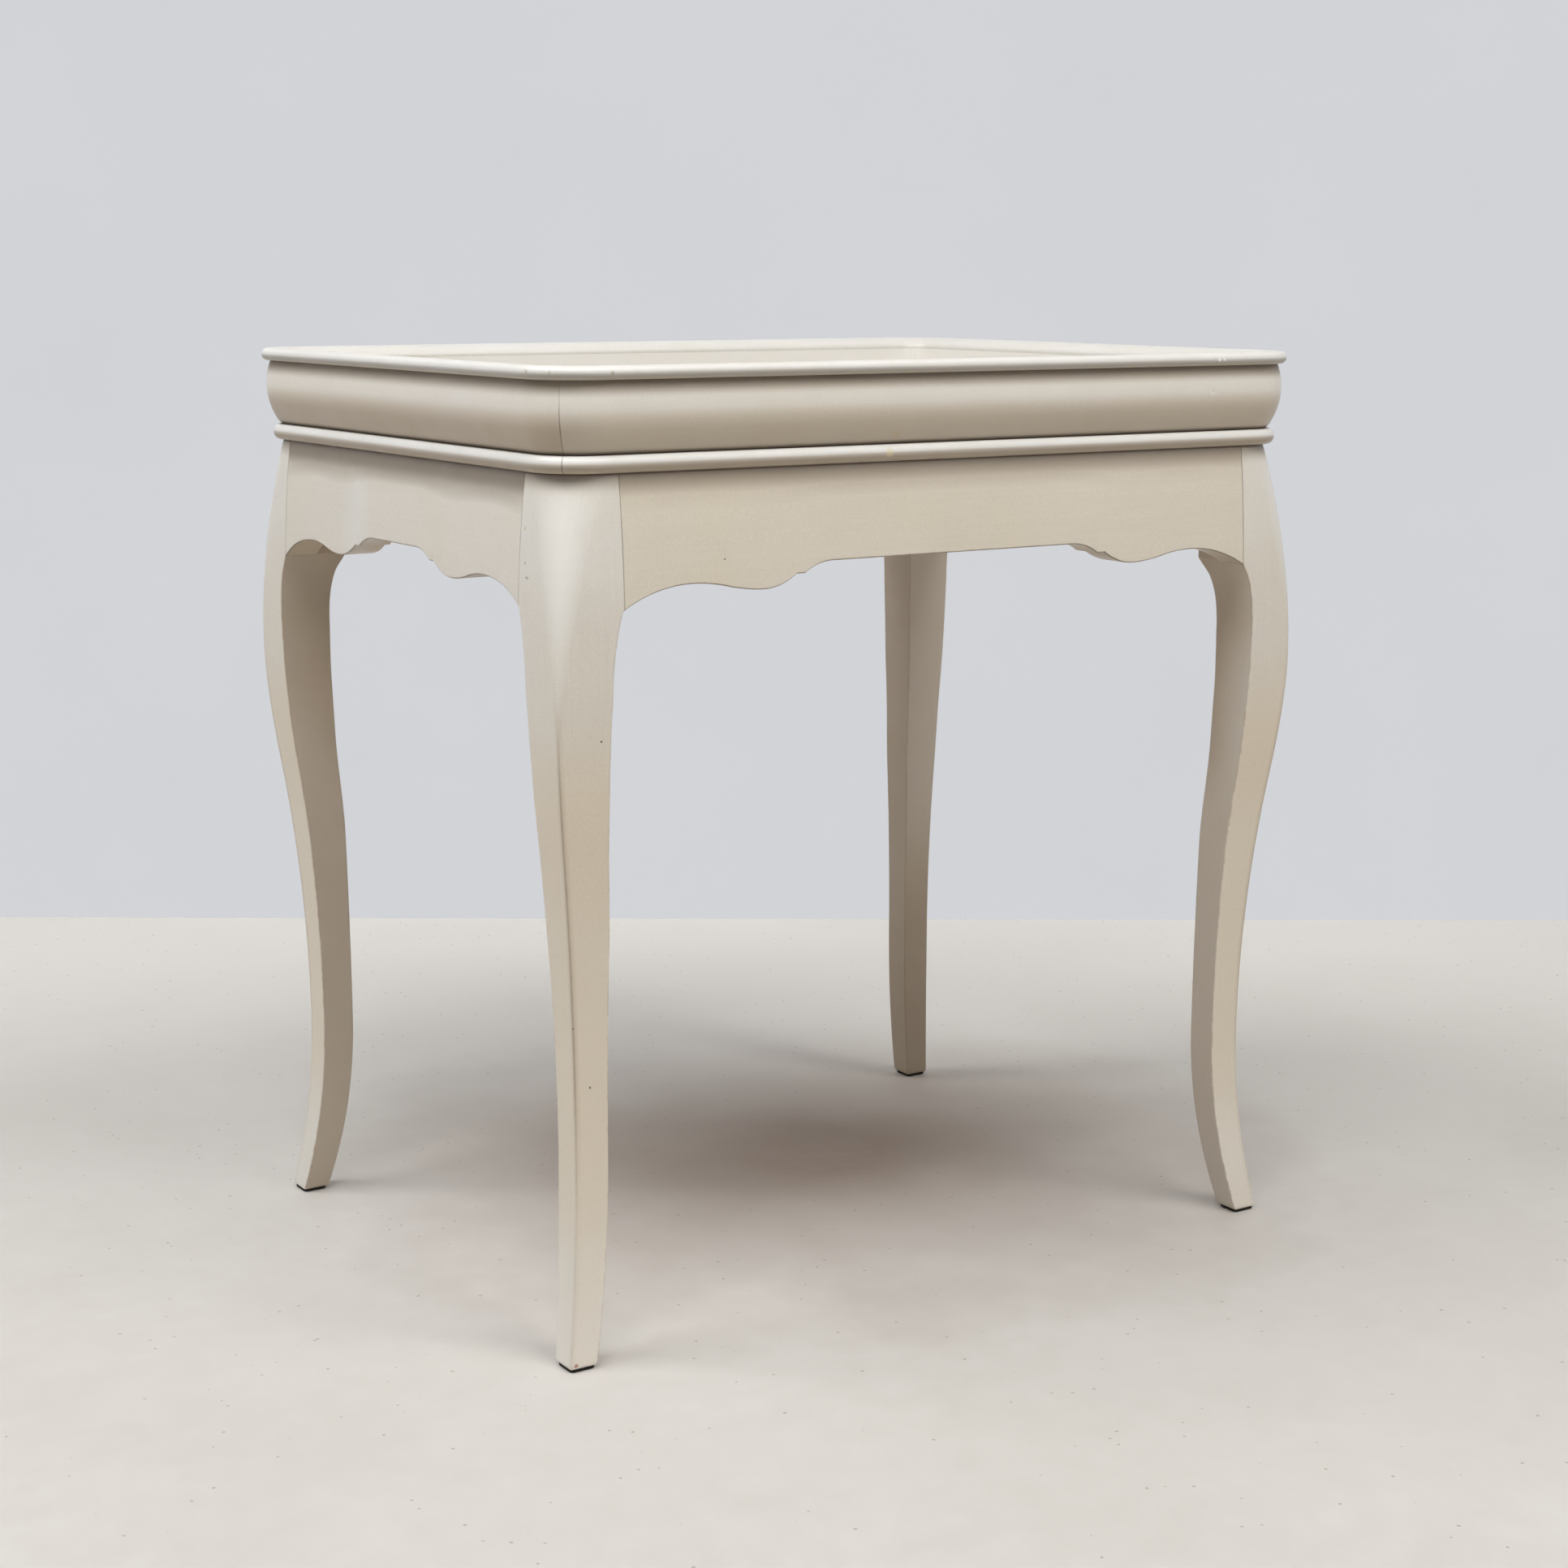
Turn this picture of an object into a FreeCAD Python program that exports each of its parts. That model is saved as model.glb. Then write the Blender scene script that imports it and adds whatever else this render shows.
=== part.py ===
import FreeCAD
import Part
import math
import os
from FreeCAD import Vector

# Tray top tea table: a mitred tray on a frame of four cabriole legs and four shaped aprons.
# Millimetres. The origin is on the floor under the middle of the table, +Z up, with the
# long side along X and the front at -Y. An inset is measured inwards from the rim's edge.

# Overall sizes
TABLE_HEIGHT = 700.0
TRAY_LENGTH = 672.0
TRAY_WIDTH = 512.0
CORNER_RADIUS = 46.0

# Rim bead: the rounded cap along the top of the tray wall
RIM_THICK = 10.0
RIM_WIDTH = 29.4
RIM_NOSE = 4.0
RIM_BEVEL = 4.0

# Frieze rail: the tray wall, which swells outwards between the two beads
FRIEZE_HEIGHT = 50.0
FRIEZE_INSET = 3.4
FRIEZE_WALL = 26.0
SWELL_RADIUS = 52.0
SWELL_DROP = 18.7
QUIRK_HEIGHT = 1.5
QUIRK_DEPTH = 2.5

# Base rail: the flat frame under the tray wall, with the lower bead as its nose
BASE_INSET = 7.8
BASE_THICK = 12.0
BASE_WIDTH = 52.0
BASE_NOSE = 4.8

# Tray floor: a loose-fitting panel on the base rails
FLOOR_THICK = 8.0
FLOOR_PLAY = 0.3

# Mitre keys: flat tongues across the mitres of the frieze rails
KEY_LENGTH = 22.0
KEY_WIDTH = 12.0
KEY_THICK = 4.0
KEY_PLAY = 0.1

# Legs: reaches are measured outwards from the foot's outer face, drops down from the apron's lower
# corner. The turn is where the face goes from hollow to round, as a share of the way from ankle to knee.
FOOT_INSET = 14.5
ANKLE_HEIGHT = 150.0
KNEE_DROP = 32.0
ANKLE_REACH = -14.2
KNEE_REACH = 9.1
TURN_SHARE = 0.62
FOOT_THICK = 22.0
ANKLE_THICK = 26.2
KNEE_THICK = 43.0
COVE_DROP = 52.0
POST_DEPTH = 44.0
FOOT_CHAMFER = 1.5

# Rounding of the leg's outer corner: broad at the top, fading to the crisp arris below the knee
POST_ROUND = 50.0
ARRIS_ROUND = 0.6
ROUND_DROP = 70.5
ROUND_FADE = 1.25
ROUND_MEET_ANGLE = 18.0
ROUND_SECTIONS = 6

# Foot pads
PAD_THICK = 2.5
PAD_INSET = 1.4

# Aprons: rises are measured along the lower edge from the leg towards the middle, and the
# lengths of its curves are shares of half the short apron's span
APRON_THICK = 20.0
APRON_DEPTH = 91.0
ARCH_RISE = 15.0
LOBE_DROP = 6.8
NOTCH_RISE = 9.4
STEP_RISE = 7.6
ARCH_SHARE = 0.273
LONG_OGEE_SHARE = 0.289
SHORT_OGEE_SHARE = 0.246
LOBE_SHARE = 0.142
NOTCH_SHARE = 0.037
STEP_SHARE = 0.119

# Mortise and tenon between apron and leg
TENON_THICK = 9.0
TENON_LENGTH = 24.0
TENON_HEIGHT = 54.0
TENON_DROP = 14.0
TENON_PLAY = 0.15
MORTISE_END_GAP = 1.0

# Corner blocks, which brace the frame and are nailed to the tray with square cut nails
BLOCK_HEIGHT = 30.0
BLOCK_WING = 50.0
NAIL_FROM_POST = 16.0
NAIL_WIDTH = 2.8
NAIL_HEAD_WIDTH = 6.5
NAIL_HEAD_THICK = 1.5
NAIL_GRIP = 8.0
NAIL_PLAY = 0.05

# Levels and lines that follow from the sizes above
RIM_BASE = TABLE_HEIGHT - RIM_THICK
FRIEZE_BASE = RIM_BASE - FRIEZE_HEIGHT
FRAME_TOP = FRIEZE_BASE - BASE_THICK
SWELL_HEIGHT = RIM_BASE - SWELL_DROP
CORNER_HEIGHT = FRAME_TOP - APRON_DEPTH
KNEE_HEIGHT = CORNER_HEIGHT - KNEE_DROP
COVE_HEIGHT = CORNER_HEIGHT - COVE_DROP
ROUND_HEIGHT = CORNER_HEIGHT - ROUND_DROP
WALL_INSET = FRIEZE_INSET + FRIEZE_WALL
FOOT_X = TRAY_LENGTH / 2 - FOOT_INSET
FOOT_Y = TRAY_WIDTH / 2 - FOOT_INSET
POST_X = FOOT_X - POST_DEPTH
POST_Y = FOOT_Y - POST_DEPTH
CENTRE_X = TRAY_LENGTH / 2 - CORNER_RADIUS
CENTRE_Y = TRAY_WIDTH / 2 - CORNER_RADIUS

# The leg's face is drawn with three arcs that meet upright at the ankle and tangent at the turn
SHANK_HEIGHT = KNEE_HEIGHT - ANKLE_HEIGHT
SHANK_REACH = KNEE_REACH - ANKLE_REACH
SHANK_RADII = (SHANK_HEIGHT ** 2 + SHANK_REACH ** 2) / (2 * SHANK_REACH)
SHIN_RADIUS = SHANK_RADII * TURN_SHARE
KNEE_RADIUS = SHANK_RADII * (1 - TURN_SHARE)
TURN_HEIGHT = ANKLE_HEIGHT + SHANK_HEIGHT * TURN_SHARE
FOOT_RADIUS = ((ANKLE_HEIGHT - PAD_THICK) ** 2 + ANKLE_REACH ** 2) / (-2 * ANKLE_REACH)

UP = Vector(0, 0, 1)
X_AXIS = Vector(1, 0, 0)
Y_AXIS = Vector(0, 1, 0)
ORIGIN = Vector(0, 0, 0)
DIAGONAL = Vector(1, -1, 0)
MITRE_ANGLE = 45.0
# How far a cutting tool passes the wood that it cuts
OVERCUT = 5.0
SIDES = ("front", "back", "left", "right")
CORNERS = {"front_left": (-1, -1), "front_right": (1, -1), "back_left": (-1, 1), "back_right": (1, 1)}


def line(start, end):
    return Part.LineSegment(start, end).toShape()


def face_of(edges):
    return Part.Face(Part.Wire(Part.__sortEdges__(edges)))


def fuse(shapes):
    return shapes[0].fuse(shapes[1:]).removeSplitter()


def square(centre, half):
    signs = ((-1, -1), (1, -1), (1, 1), (-1, 1), (-1, -1))
    return Part.makePolygon([centre + Vector(x * half, y * half, 0) for x, y in signs])


def box_between(low, high):
    size = high - low
    return Part.makeBox(size.x, size.y, size.z, low)


def at_corner(shape, corner):
    """Mirrors a shape drawn for the +X +Y corner to another corner of the table."""
    sign_x, sign_y = CORNERS[corner]
    if sign_x < 0:
        shape = shape.mirror(ORIGIN, X_AXIS)
    if sign_y < 0:
        shape = shape.mirror(ORIGIN, Y_AXIS)
    return shape


def on_side(draw, side):
    """Draws a piece for the front, or for the right with the table's sides swapped, then places it."""
    if side in ("front", "back"):
        shape = draw(TRAY_LENGTH / 2, TRAY_WIDTH / 2)
        return shape if side == "front" else shape.mirror(ORIGIN, Y_AXIS)
    shape = draw(TRAY_WIDTH / 2, TRAY_LENGTH / 2)
    shape.rotate(ORIGIN, UP, 90)
    return shape if side == "right" else shape.mirror(ORIGIN, X_AXIS)


# Tray

def moulding(section, half_length, half_width):
    """Runs a section along the front and half way round both rounded corners, to the mitres."""
    straight = half_length - CORNER_RADIUS
    at_end = section.translated(Vector(straight, 0, 0))
    run = at_end.extrude(Vector(-2 * straight, 0, 0))
    axis_right = Vector(straight, CORNER_RADIUS - half_width, 0)
    bend = at_end.revolve(axis_right, UP, MITRE_ANGLE)
    return fuse([run, bend, bend.mirror(ORIGIN, X_AXIS)])


def section_point(half_width, inset, height):
    return Vector(0, inset - half_width, height)


def rim_section(half_width):
    """A flat strip with a round nose outside and a small bevel inside."""

    def point(inset, height):
        return section_point(half_width, inset, height)

    low = point(RIM_NOSE, RIM_BASE)
    high = point(RIM_NOSE, TABLE_HEIGHT)
    tip = point(0, RIM_BASE + RIM_THICK / 2)
    corners = [high, point(RIM_WIDTH - RIM_BEVEL, TABLE_HEIGHT), point(RIM_WIDTH, TABLE_HEIGHT - RIM_BEVEL),
               point(RIM_WIDTH, RIM_BASE), low]
    edges = [line(start, end) for start, end in zip(corners, corners[1:])]
    return face_of([Part.Arc(low, tip, high).toShape()] + edges)


def swell_inset(height):
    """Inset of the swelling face of the frieze, which is one arc."""
    rise = height - SWELL_HEIGHT
    return FRIEZE_INSET + SWELL_RADIUS - math.sqrt(SWELL_RADIUS ** 2 - rise ** 2)


def frieze_section(half_width):
    """A wall with a swelling outer face, undercut to a small quirk above the lower bead."""
    quirk_top = FRIEZE_BASE + QUIRK_HEIGHT

    def point(inset, height):
        return section_point(half_width, inset, height)

    top_outer = point(swell_inset(RIM_BASE), RIM_BASE)
    fullest = point(FRIEZE_INSET, SWELL_HEIGHT)
    foot = point(swell_inset(quirk_top), quirk_top)
    quirk_inner = point(swell_inset(quirk_top) + QUIRK_DEPTH, FRIEZE_BASE)
    corners = [foot, quirk_inner, point(WALL_INSET, FRIEZE_BASE), point(WALL_INSET, RIM_BASE), top_outer]
    edges = [line(start, end) for start, end in zip(corners, corners[1:])]
    return face_of([Part.Arc(top_outer, fullest, foot).toShape()] + edges)


def base_nose_section(half_width):
    """The lower bead: a round nose on the base rail's outer edge."""

    def point(inset, height):
        return section_point(half_width, inset, height)

    low = point(BASE_INSET + BASE_NOSE, FRAME_TOP)
    high = point(BASE_INSET + BASE_NOSE, FRIEZE_BASE)
    tip = point(BASE_INSET, FRAME_TOP + BASE_THICK / 2)
    return face_of([Part.Arc(low, tip, high).toShape(), line(high, low)])


def base_flat(half_length, half_width):
    """The flat board behind the nose, from mitre to mitre."""
    outer = BASE_INSET + BASE_NOSE
    inner = BASE_INSET + BASE_WIDTH
    straight = half_length - CORNER_RADIUS
    bend = CORNER_RADIUS - outer

    def on_bend(angle):
        turn = math.radians(angle)
        out = CORNER_RADIUS - half_width - bend * math.cos(turn)
        return Vector(straight + bend * math.sin(turn), out, FRAME_TOP)

    half = [on_bend(0), on_bend(MITRE_ANGLE / 2), on_bend(MITRE_ANGLE),
            Vector(half_length - inner, inner - half_width, FRAME_TOP)]
    other = [Vector(-p.x, p.y, p.z) for p in half]
    edges = [line(other[0], half[0]), Part.Arc(*half[:3]).toShape(), line(half[2], half[3]),
             line(half[3], other[3]), line(other[3], other[2]), Part.Arc(*other[:3]).toShape()]
    return face_of(edges).extrude(UP * BASE_THICK)


def rim_bead(half_length, half_width):
    return moulding(rim_section(half_width), half_length, half_width)


def frieze_rail(half_length, half_width):
    return moulding(frieze_section(half_width), half_length, half_width)


def base_rail(half_length, half_width):
    nose = moulding(base_nose_section(half_width), half_length, half_width)
    return fuse([base_flat(half_length, half_width), nose])


def tray_floor():
    inset = WALL_INSET + FLOOR_PLAY
    low = Vector(inset - TRAY_LENGTH / 2, inset - TRAY_WIDTH / 2, FRIEZE_BASE)
    high = Vector(TRAY_LENGTH / 2 - inset, TRAY_WIDTH / 2 - inset, FRIEZE_BASE + FLOOR_THICK)
    panel = box_between(low, high)
    uprights = [edge for edge in panel.Edges if abs(edge.tangentAt(edge.FirstParameter).z) > 0.9]
    return panel.makeFillet(CORNER_RADIUS - inset, uprights)


def mitre_key(play):
    """A tongue across the mitre at the +X +Y corner, or its slot when given play."""
    size = Vector(KEY_WIDTH + 2 * play, KEY_LENGTH + 2 * play, KEY_THICK + 2 * play)
    middle = CORNER_RADIUS - FRIEZE_INSET - FRIEZE_WALL / 2
    low = Vector(middle - size.x / 2, -size.y / 2, SWELL_HEIGHT - size.z / 2)
    key = box_between(low, low + size)
    key.rotate(ORIGIN, UP, MITRE_ANGLE)
    return key.translated(Vector(CENTRE_X, CENTRE_Y, 0))


# Legs

def reach(height):
    """How far the leg's outer face stands out at a height."""
    if height > TURN_HEIGHT:
        return KNEE_REACH - KNEE_RADIUS + math.sqrt(KNEE_RADIUS ** 2 - (height - KNEE_HEIGHT) ** 2)
    radius = SHIN_RADIUS if height > ANKLE_HEIGHT else FOOT_RADIUS
    return ANKLE_REACH + radius - math.sqrt(radius ** 2 - (height - ANKLE_HEIGHT) ** 2)


def face_arc(low, high, face):
    """One of the arcs of the leg's outer face, seen from the side."""
    heights = (low, (low + high) / 2, high)
    return Part.Arc(*[Vector(face + reach(height), 0, height) for height in heights]).toShape()


def upright_arc(upright_end, far_end):
    """Arc between two points that leaves the first of them upright."""
    run = far_end.x - upright_end.x
    rise = far_end.z - upright_end.z
    radius = (run ** 2 + rise ** 2) / (2 * run)
    turn = math.atan2(rise, abs(radius) - abs(run))
    middle = Vector(upright_end.x + radius * (1 - math.cos(turn / 2)), 0,
                    upright_end.z + abs(radius) * math.sin(turn / 2))
    return Part.Arc(upright_end, middle, far_end).toShape()


def leg_pattern():
    """Side view of the leg: the pattern that is sawn out of the blank from two sides."""
    foot_out = Vector(FOOT_X, 0, PAD_THICK)
    foot_in = Vector(FOOT_X - FOOT_THICK, 0, PAD_THICK)
    ankle_in = Vector(FOOT_X + ANKLE_REACH - ANKLE_THICK, 0, ANKLE_HEIGHT)
    cove_in = Vector(FOOT_X + KNEE_REACH - KNEE_THICK, 0, COVE_HEIGHT)
    post_in = Vector(POST_X, 0, CORNER_HEIGHT)
    top_in = Vector(POST_X, 0, FRAME_TOP)
    top_out = Vector(FOOT_X + reach(FRAME_TOP), 0, FRAME_TOP)
    outer = [face_arc(PAD_THICK, ANKLE_HEIGHT, FOOT_X), face_arc(ANKLE_HEIGHT, TURN_HEIGHT, FOOT_X),
             face_arc(TURN_HEIGHT, FRAME_TOP, FOOT_X)]
    inner = [upright_arc(ankle_in, foot_in), upright_arc(ankle_in, cove_in), upright_arc(cove_in, post_in)]
    return face_of(outer + inner + [line(top_out, top_in), line(top_in, post_in), line(foot_in, foot_out)])


def rounding_section(height):
    """What the rounding takes off the +X +Y corner at a height: the space outside an arc."""
    share = (height - ROUND_HEIGHT) / (FRAME_TOP - ROUND_HEIGHT)
    radius = ARRIS_ROUND + (POST_ROUND - ARRIS_ROUND) * share ** ROUND_FADE
    to_face = radius * math.cos(math.radians(ROUND_MEET_ANGLE))
    centre = Vector(FOOT_X + reach(height) - to_face, FOOT_Y + reach(height) - to_face, height)
    half_way = radius * math.sqrt(0.5)
    outside = radius + OVERCUT
    start = centre + X_AXIS * radius
    end = centre + Y_AXIS * radius
    arc = Part.Arc(start, centre + Vector(half_way, half_way, 0), end).toShape()
    corners = [end, centre + Y_AXIS * outside, centre + Vector(outside, outside, 0),
               centre + X_AXIS * outside, start]
    return Part.Wire([arc] + [line(a, b) for a, b in zip(corners, corners[1:])])


def rounding_waste():
    step = (FRAME_TOP + OVERCUT - ROUND_HEIGHT) / (ROUND_SECTIONS - 1)
    heights = [ROUND_HEIGHT + step * i for i in range(ROUND_SECTIONS)]
    return Part.makeLoft([rounding_section(height) for height in heights], True, False)


def foot_chamfer_waste():
    """What the small chamfer round the bottom of the foot takes away."""
    middle = Vector(FOOT_X - FOOT_THICK / 2, FOOT_Y - FOOT_THICK / 2, PAD_THICK)
    top = middle + UP * FOOT_CHAMFER
    half = FOOT_THICK / 2
    kept = Part.makeLoft([square(middle, half - FOOT_CHAMFER), square(top, half)], True, True)
    around = Vector(half + OVERCUT, half + OVERCUT, 0)
    return box_between(middle - around, top + around).cut(kept)


def leg():
    """Leg at the +X +Y corner: sawn from two sides, rounded, chamfered and mortised."""
    across = FOOT_Y + KNEE_REACH - POST_Y + 2 * OVERCUT
    sawn = leg_pattern().translated(Y_AXIS * (POST_Y - OVERCUT)).extrude(Y_AXIS * across)
    to_other_side = Vector(POST_X - POST_Y, POST_Y - POST_X, 0)
    blank = sawn.common(sawn.mirror(ORIGIN, DIAGONAL).translated(to_other_side))
    mortises = [tenon(TENON_PLAY, MORTISE_END_GAP, POST_X, FOOT_Y),
                tenon(TENON_PLAY, MORTISE_END_GAP, POST_Y, FOOT_X).mirror(ORIGIN, DIAGONAL)]
    return blank.cut([rounding_waste(), foot_chamfer_waste()] + mortises)


def foot_pad():
    low = Vector(FOOT_X - FOOT_THICK + PAD_INSET, FOOT_Y - FOOT_THICK + PAD_INSET, 0)
    return box_between(low, Vector(FOOT_X - PAD_INSET, FOOT_Y - PAD_INSET, PAD_THICK))


# Aprons

def apron_back(face):
    return face + reach(FRAME_TOP) - APRON_THICK


def tenon(play, end_gap, shoulder, face):
    """Tenon that points along +X from a shoulder, or its mortise when given play."""
    middle = apron_back(face) + APRON_THICK / 2
    top = FRAME_TOP - TENON_DROP + play
    low = Vector(shoulder, middle - TENON_THICK / 2 - play, top - TENON_HEIGHT - 2 * play)
    return box_between(low, Vector(shoulder + TENON_LENGTH + end_gap, middle + TENON_THICK / 2 + play, top))


def level_arc(flat_end, far_end):
    """Arc between two points that leaves the first of them level."""
    run = far_end.x - flat_end.x
    rise = far_end.z - flat_end.z
    radius = (run ** 2 + rise ** 2) / (2 * rise)
    turn = math.atan2(abs(run), abs(radius) - abs(rise))
    middle = Vector(flat_end.x + math.copysign(abs(radius) * math.sin(turn / 2), run), flat_end.y,
                    flat_end.z + radius * (1 - math.cos(turn / 2)))
    return Part.Arc(flat_end, middle, far_end).toShape()


def apron_outline(half_span, ogee_share):
    """Board outline: arch, ogee to a lobe, notch and step on each half, with a level middle."""

    def along(edge_end, share, rise):
        return edge_end + Vector(-share * POST_Y, 0, rise)

    corner = Vector(half_span, 0, CORNER_HEIGHT)
    crest = along(corner, ARCH_SHARE, ARCH_RISE)
    lobe = along(crest, ogee_share, -LOBE_DROP)
    turn = (crest + lobe) * 0.5
    notch = along(lobe, LOBE_SHARE, NOTCH_RISE)
    step = along(notch, NOTCH_SHARE, 0)
    level = along(step, STEP_SHARE, STEP_RISE)
    top = Vector(half_span, 0, FRAME_TOP)
    half = [line(top, corner), level_arc(crest, corner), level_arc(crest, turn), level_arc(lobe, turn),
            level_arc(lobe, notch), line(notch, step), level_arc(level, step)]
    other = [edge.mirror(ORIGIN, X_AXIS) for edge in half]
    middle = line(level, Vector(-level.x, 0, level.z))
    return face_of(half + other + [middle, line(top, Vector(-half_span, 0, FRAME_TOP))])


def apron(half_span, face, ogee_share):
    """Apron on the +Y side: a sawn board whose outer face follows the legs, with a tenon at each end."""
    board = apron_outline(half_span, ogee_share).extrude(Y_AXIS * (face + FOOT_INSET))
    low = CORNER_HEIGHT - OVERCUT
    back = apron_back(face)
    corners = [Vector(face + reach(FRAME_TOP), 0, FRAME_TOP), Vector(back, 0, FRAME_TOP),
               Vector(back, 0, low), Vector(face + reach(low), 0, low)]
    section = face_of([face_arc(low, FRAME_TOP, face)] + [line(a, b) for a, b in zip(corners, corners[1:])])
    section.rotate(ORIGIN, UP, 90)
    shaped = board.common(section.translated(X_AXIS * -half_span).extrude(X_AXIS * (2 * half_span)))
    end_tenon = tenon(0.0, 0.0, half_span, face)
    return fuse([shaped, end_tenon, end_tenon.mirror(ORIGIN, X_AXIS)])


def apron_on(side):
    if side in ("front", "back"):
        board = apron(POST_X, FOOT_Y, LONG_OGEE_SHARE)
        return board if side == "back" else board.mirror(ORIGIN, Y_AXIS)
    board = apron(POST_Y, FOOT_X, SHORT_OGEE_SHARE)
    board.rotate(ORIGIN, UP, -90)
    return board if side == "right" else board.mirror(ORIGIN, X_AXIS)


# Corner blocks and nails

def nail_places():
    """Where the two nails of the +X +Y corner block stand."""
    wing_x = (POST_X + apron_back(FOOT_X)) / 2
    wing_y = (POST_Y + apron_back(FOOT_Y)) / 2
    return [Vector(POST_X - NAIL_FROM_POST, wing_y, 0), Vector(wing_x, POST_Y - NAIL_FROM_POST, 0)]


def nail(play):
    """Square nail with its head flush under the block, or its hole when given play."""
    foot = Vector(0, 0, FRAME_TOP - BLOCK_HEIGHT)
    neck = foot + UP * (NAIL_HEAD_THICK + play)
    tip = Vector(0, 0, FRAME_TOP + NAIL_GRIP + play)
    head_half = NAIL_HEAD_WIDTH / 2 + play
    head = box_between(foot - Vector(head_half, head_half, 0), neck + Vector(head_half, head_half, 0))
    shank_half = NAIL_WIDTH / 2 + play
    shank = box_between(neck - Vector(shank_half, shank_half, 0), tip + Vector(shank_half, shank_half, 0))
    return fuse([head, shank])


def corner_nails(play):
    return [nail(play).translated(place) for place in nail_places()]


def corner_block():
    """Block in the +X +Y corner, notched round the post and pierced by two nails."""
    back_x = apron_back(FOOT_X)
    back_y = apron_back(FOOT_Y)
    plan = [(POST_X, back_y), (POST_X - BLOCK_WING, back_y), (back_x, POST_Y - BLOCK_WING), (back_x, POST_Y),
            (POST_X, POST_Y), (POST_X, back_y)]
    outline = Part.makePolygon([Vector(x, y, FRAME_TOP - BLOCK_HEIGHT) for x, y in plan])
    return Part.Face(outline).extrude(UP * BLOCK_HEIGHT).cut(corner_nails(NAIL_PLAY))


# Assembly

def at_all_corners(shapes):
    return [at_corner(shape, corner) for corner in CORNERS for shape in shapes]


pieces = {"tray_floor": tray_floor(),
          "mitre_keys": Part.makeCompound(at_all_corners([mitre_key(0.0)])),
          "tray_nails": Part.makeCompound(at_all_corners(corner_nails(0.0)))}
key_slots = at_all_corners([mitre_key(KEY_PLAY)])
nail_holes = at_all_corners(corner_nails(NAIL_PLAY))
for side in SIDES:
    pieces["rim_bead_" + side] = on_side(rim_bead, side)
    pieces["frieze_rail_" + side] = on_side(frieze_rail, side).cut(key_slots)
    pieces["base_rail_" + side] = on_side(base_rail, side).cut(nail_holes)
    pieces["apron_" + side] = apron_on(side)
for name, shape in {"leg": leg(), "foot_pad": foot_pad(), "corner_block": corner_block()}.items():
    for corner in CORNERS:
        pieces[name + "_" + corner] = at_corner(shape, corner)

os.makedirs("parts", exist_ok=True)
for name, shape in pieces.items():
    shape.exportStep("parts/" + name + ".step")
    print(name, len(shape.Solids), shape.isValid(), round(shape.Volume))
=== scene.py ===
import math

import bmesh
import bpy
from mathutils import Matrix, Vector


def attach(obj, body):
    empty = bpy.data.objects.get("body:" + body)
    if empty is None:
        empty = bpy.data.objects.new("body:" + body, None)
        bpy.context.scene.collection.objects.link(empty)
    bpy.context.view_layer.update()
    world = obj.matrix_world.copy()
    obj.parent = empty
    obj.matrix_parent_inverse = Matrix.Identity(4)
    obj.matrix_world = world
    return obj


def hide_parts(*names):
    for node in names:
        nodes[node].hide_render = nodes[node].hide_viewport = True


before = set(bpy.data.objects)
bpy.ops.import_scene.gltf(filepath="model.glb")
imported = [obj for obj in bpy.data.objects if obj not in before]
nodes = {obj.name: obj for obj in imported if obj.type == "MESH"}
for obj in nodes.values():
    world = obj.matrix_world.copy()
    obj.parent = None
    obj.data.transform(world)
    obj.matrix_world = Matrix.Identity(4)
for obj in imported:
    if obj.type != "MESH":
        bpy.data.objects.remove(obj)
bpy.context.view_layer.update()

# The table's sizes in millimetres, as in its source. An inset is measured inwards from the rim's
# edge, a reach outwards from the foot's outer face.
MM = 0.001
LONG_SIDES, SHORT_SIDES = ("front", "back"), ("left", "right")
LENGTH, WIDTH, CORNER = 672.0, 512.0, 46.0
RIM_BASE, TRAY_FLOOR, FRIEZE_BASE, FRAME_TOP = 690.0, 648.0, 640.0, 628.0
FRIEZE_INSET, WALL_INSET, FOOT_INSET = 3.4, 29.4, 14.5
SWELL_HEIGHT, SWELL_RADIUS, SWELL_TOP, SWELL_FOOT = 671.3, 52.0, 688.0, 643.2
POST_DEPTH, COVE_DEPTH, ANKLE_DEPTH, FOOT_DEPTH = 44.0, 43.0, 26.2, 22.0
FOOT_X, FOOT_Y = LENGTH / 2 - FOOT_INSET, WIDTH / 2 - FOOT_INSET
POST_X, POST_Y = FOOT_X - POST_DEPTH, FOOT_Y - POST_DEPTH
CORNER_HEIGHT, KNEE_HEIGHT, COVE_HEIGHT, ANKLE_HEIGHT, PAD = 537.0, 505.0, 485.0, 150.0, 2.5
KNEE_REACH, ANKLE_REACH, TURN_SHARE = 9.1, -14.2, 0.62
SHANK = KNEE_HEIGHT - ANKLE_HEIGHT
SWAY = KNEE_REACH - ANKLE_REACH
RADII = (SHANK ** 2 + SWAY ** 2) / (2 * SWAY)
TURN_HEIGHT = ANKLE_HEIGHT + SHANK * TURN_SHARE
FOOT_RADIUS = ((ANKLE_HEIGHT - PAD) ** 2 + ANKLE_REACH ** 2) / (-2 * ANKLE_REACH)
APRON_THICK = 20.0


# Meshes

MERGE_DISTANCE, SLIVER = 2e-6, 1e-6


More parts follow.
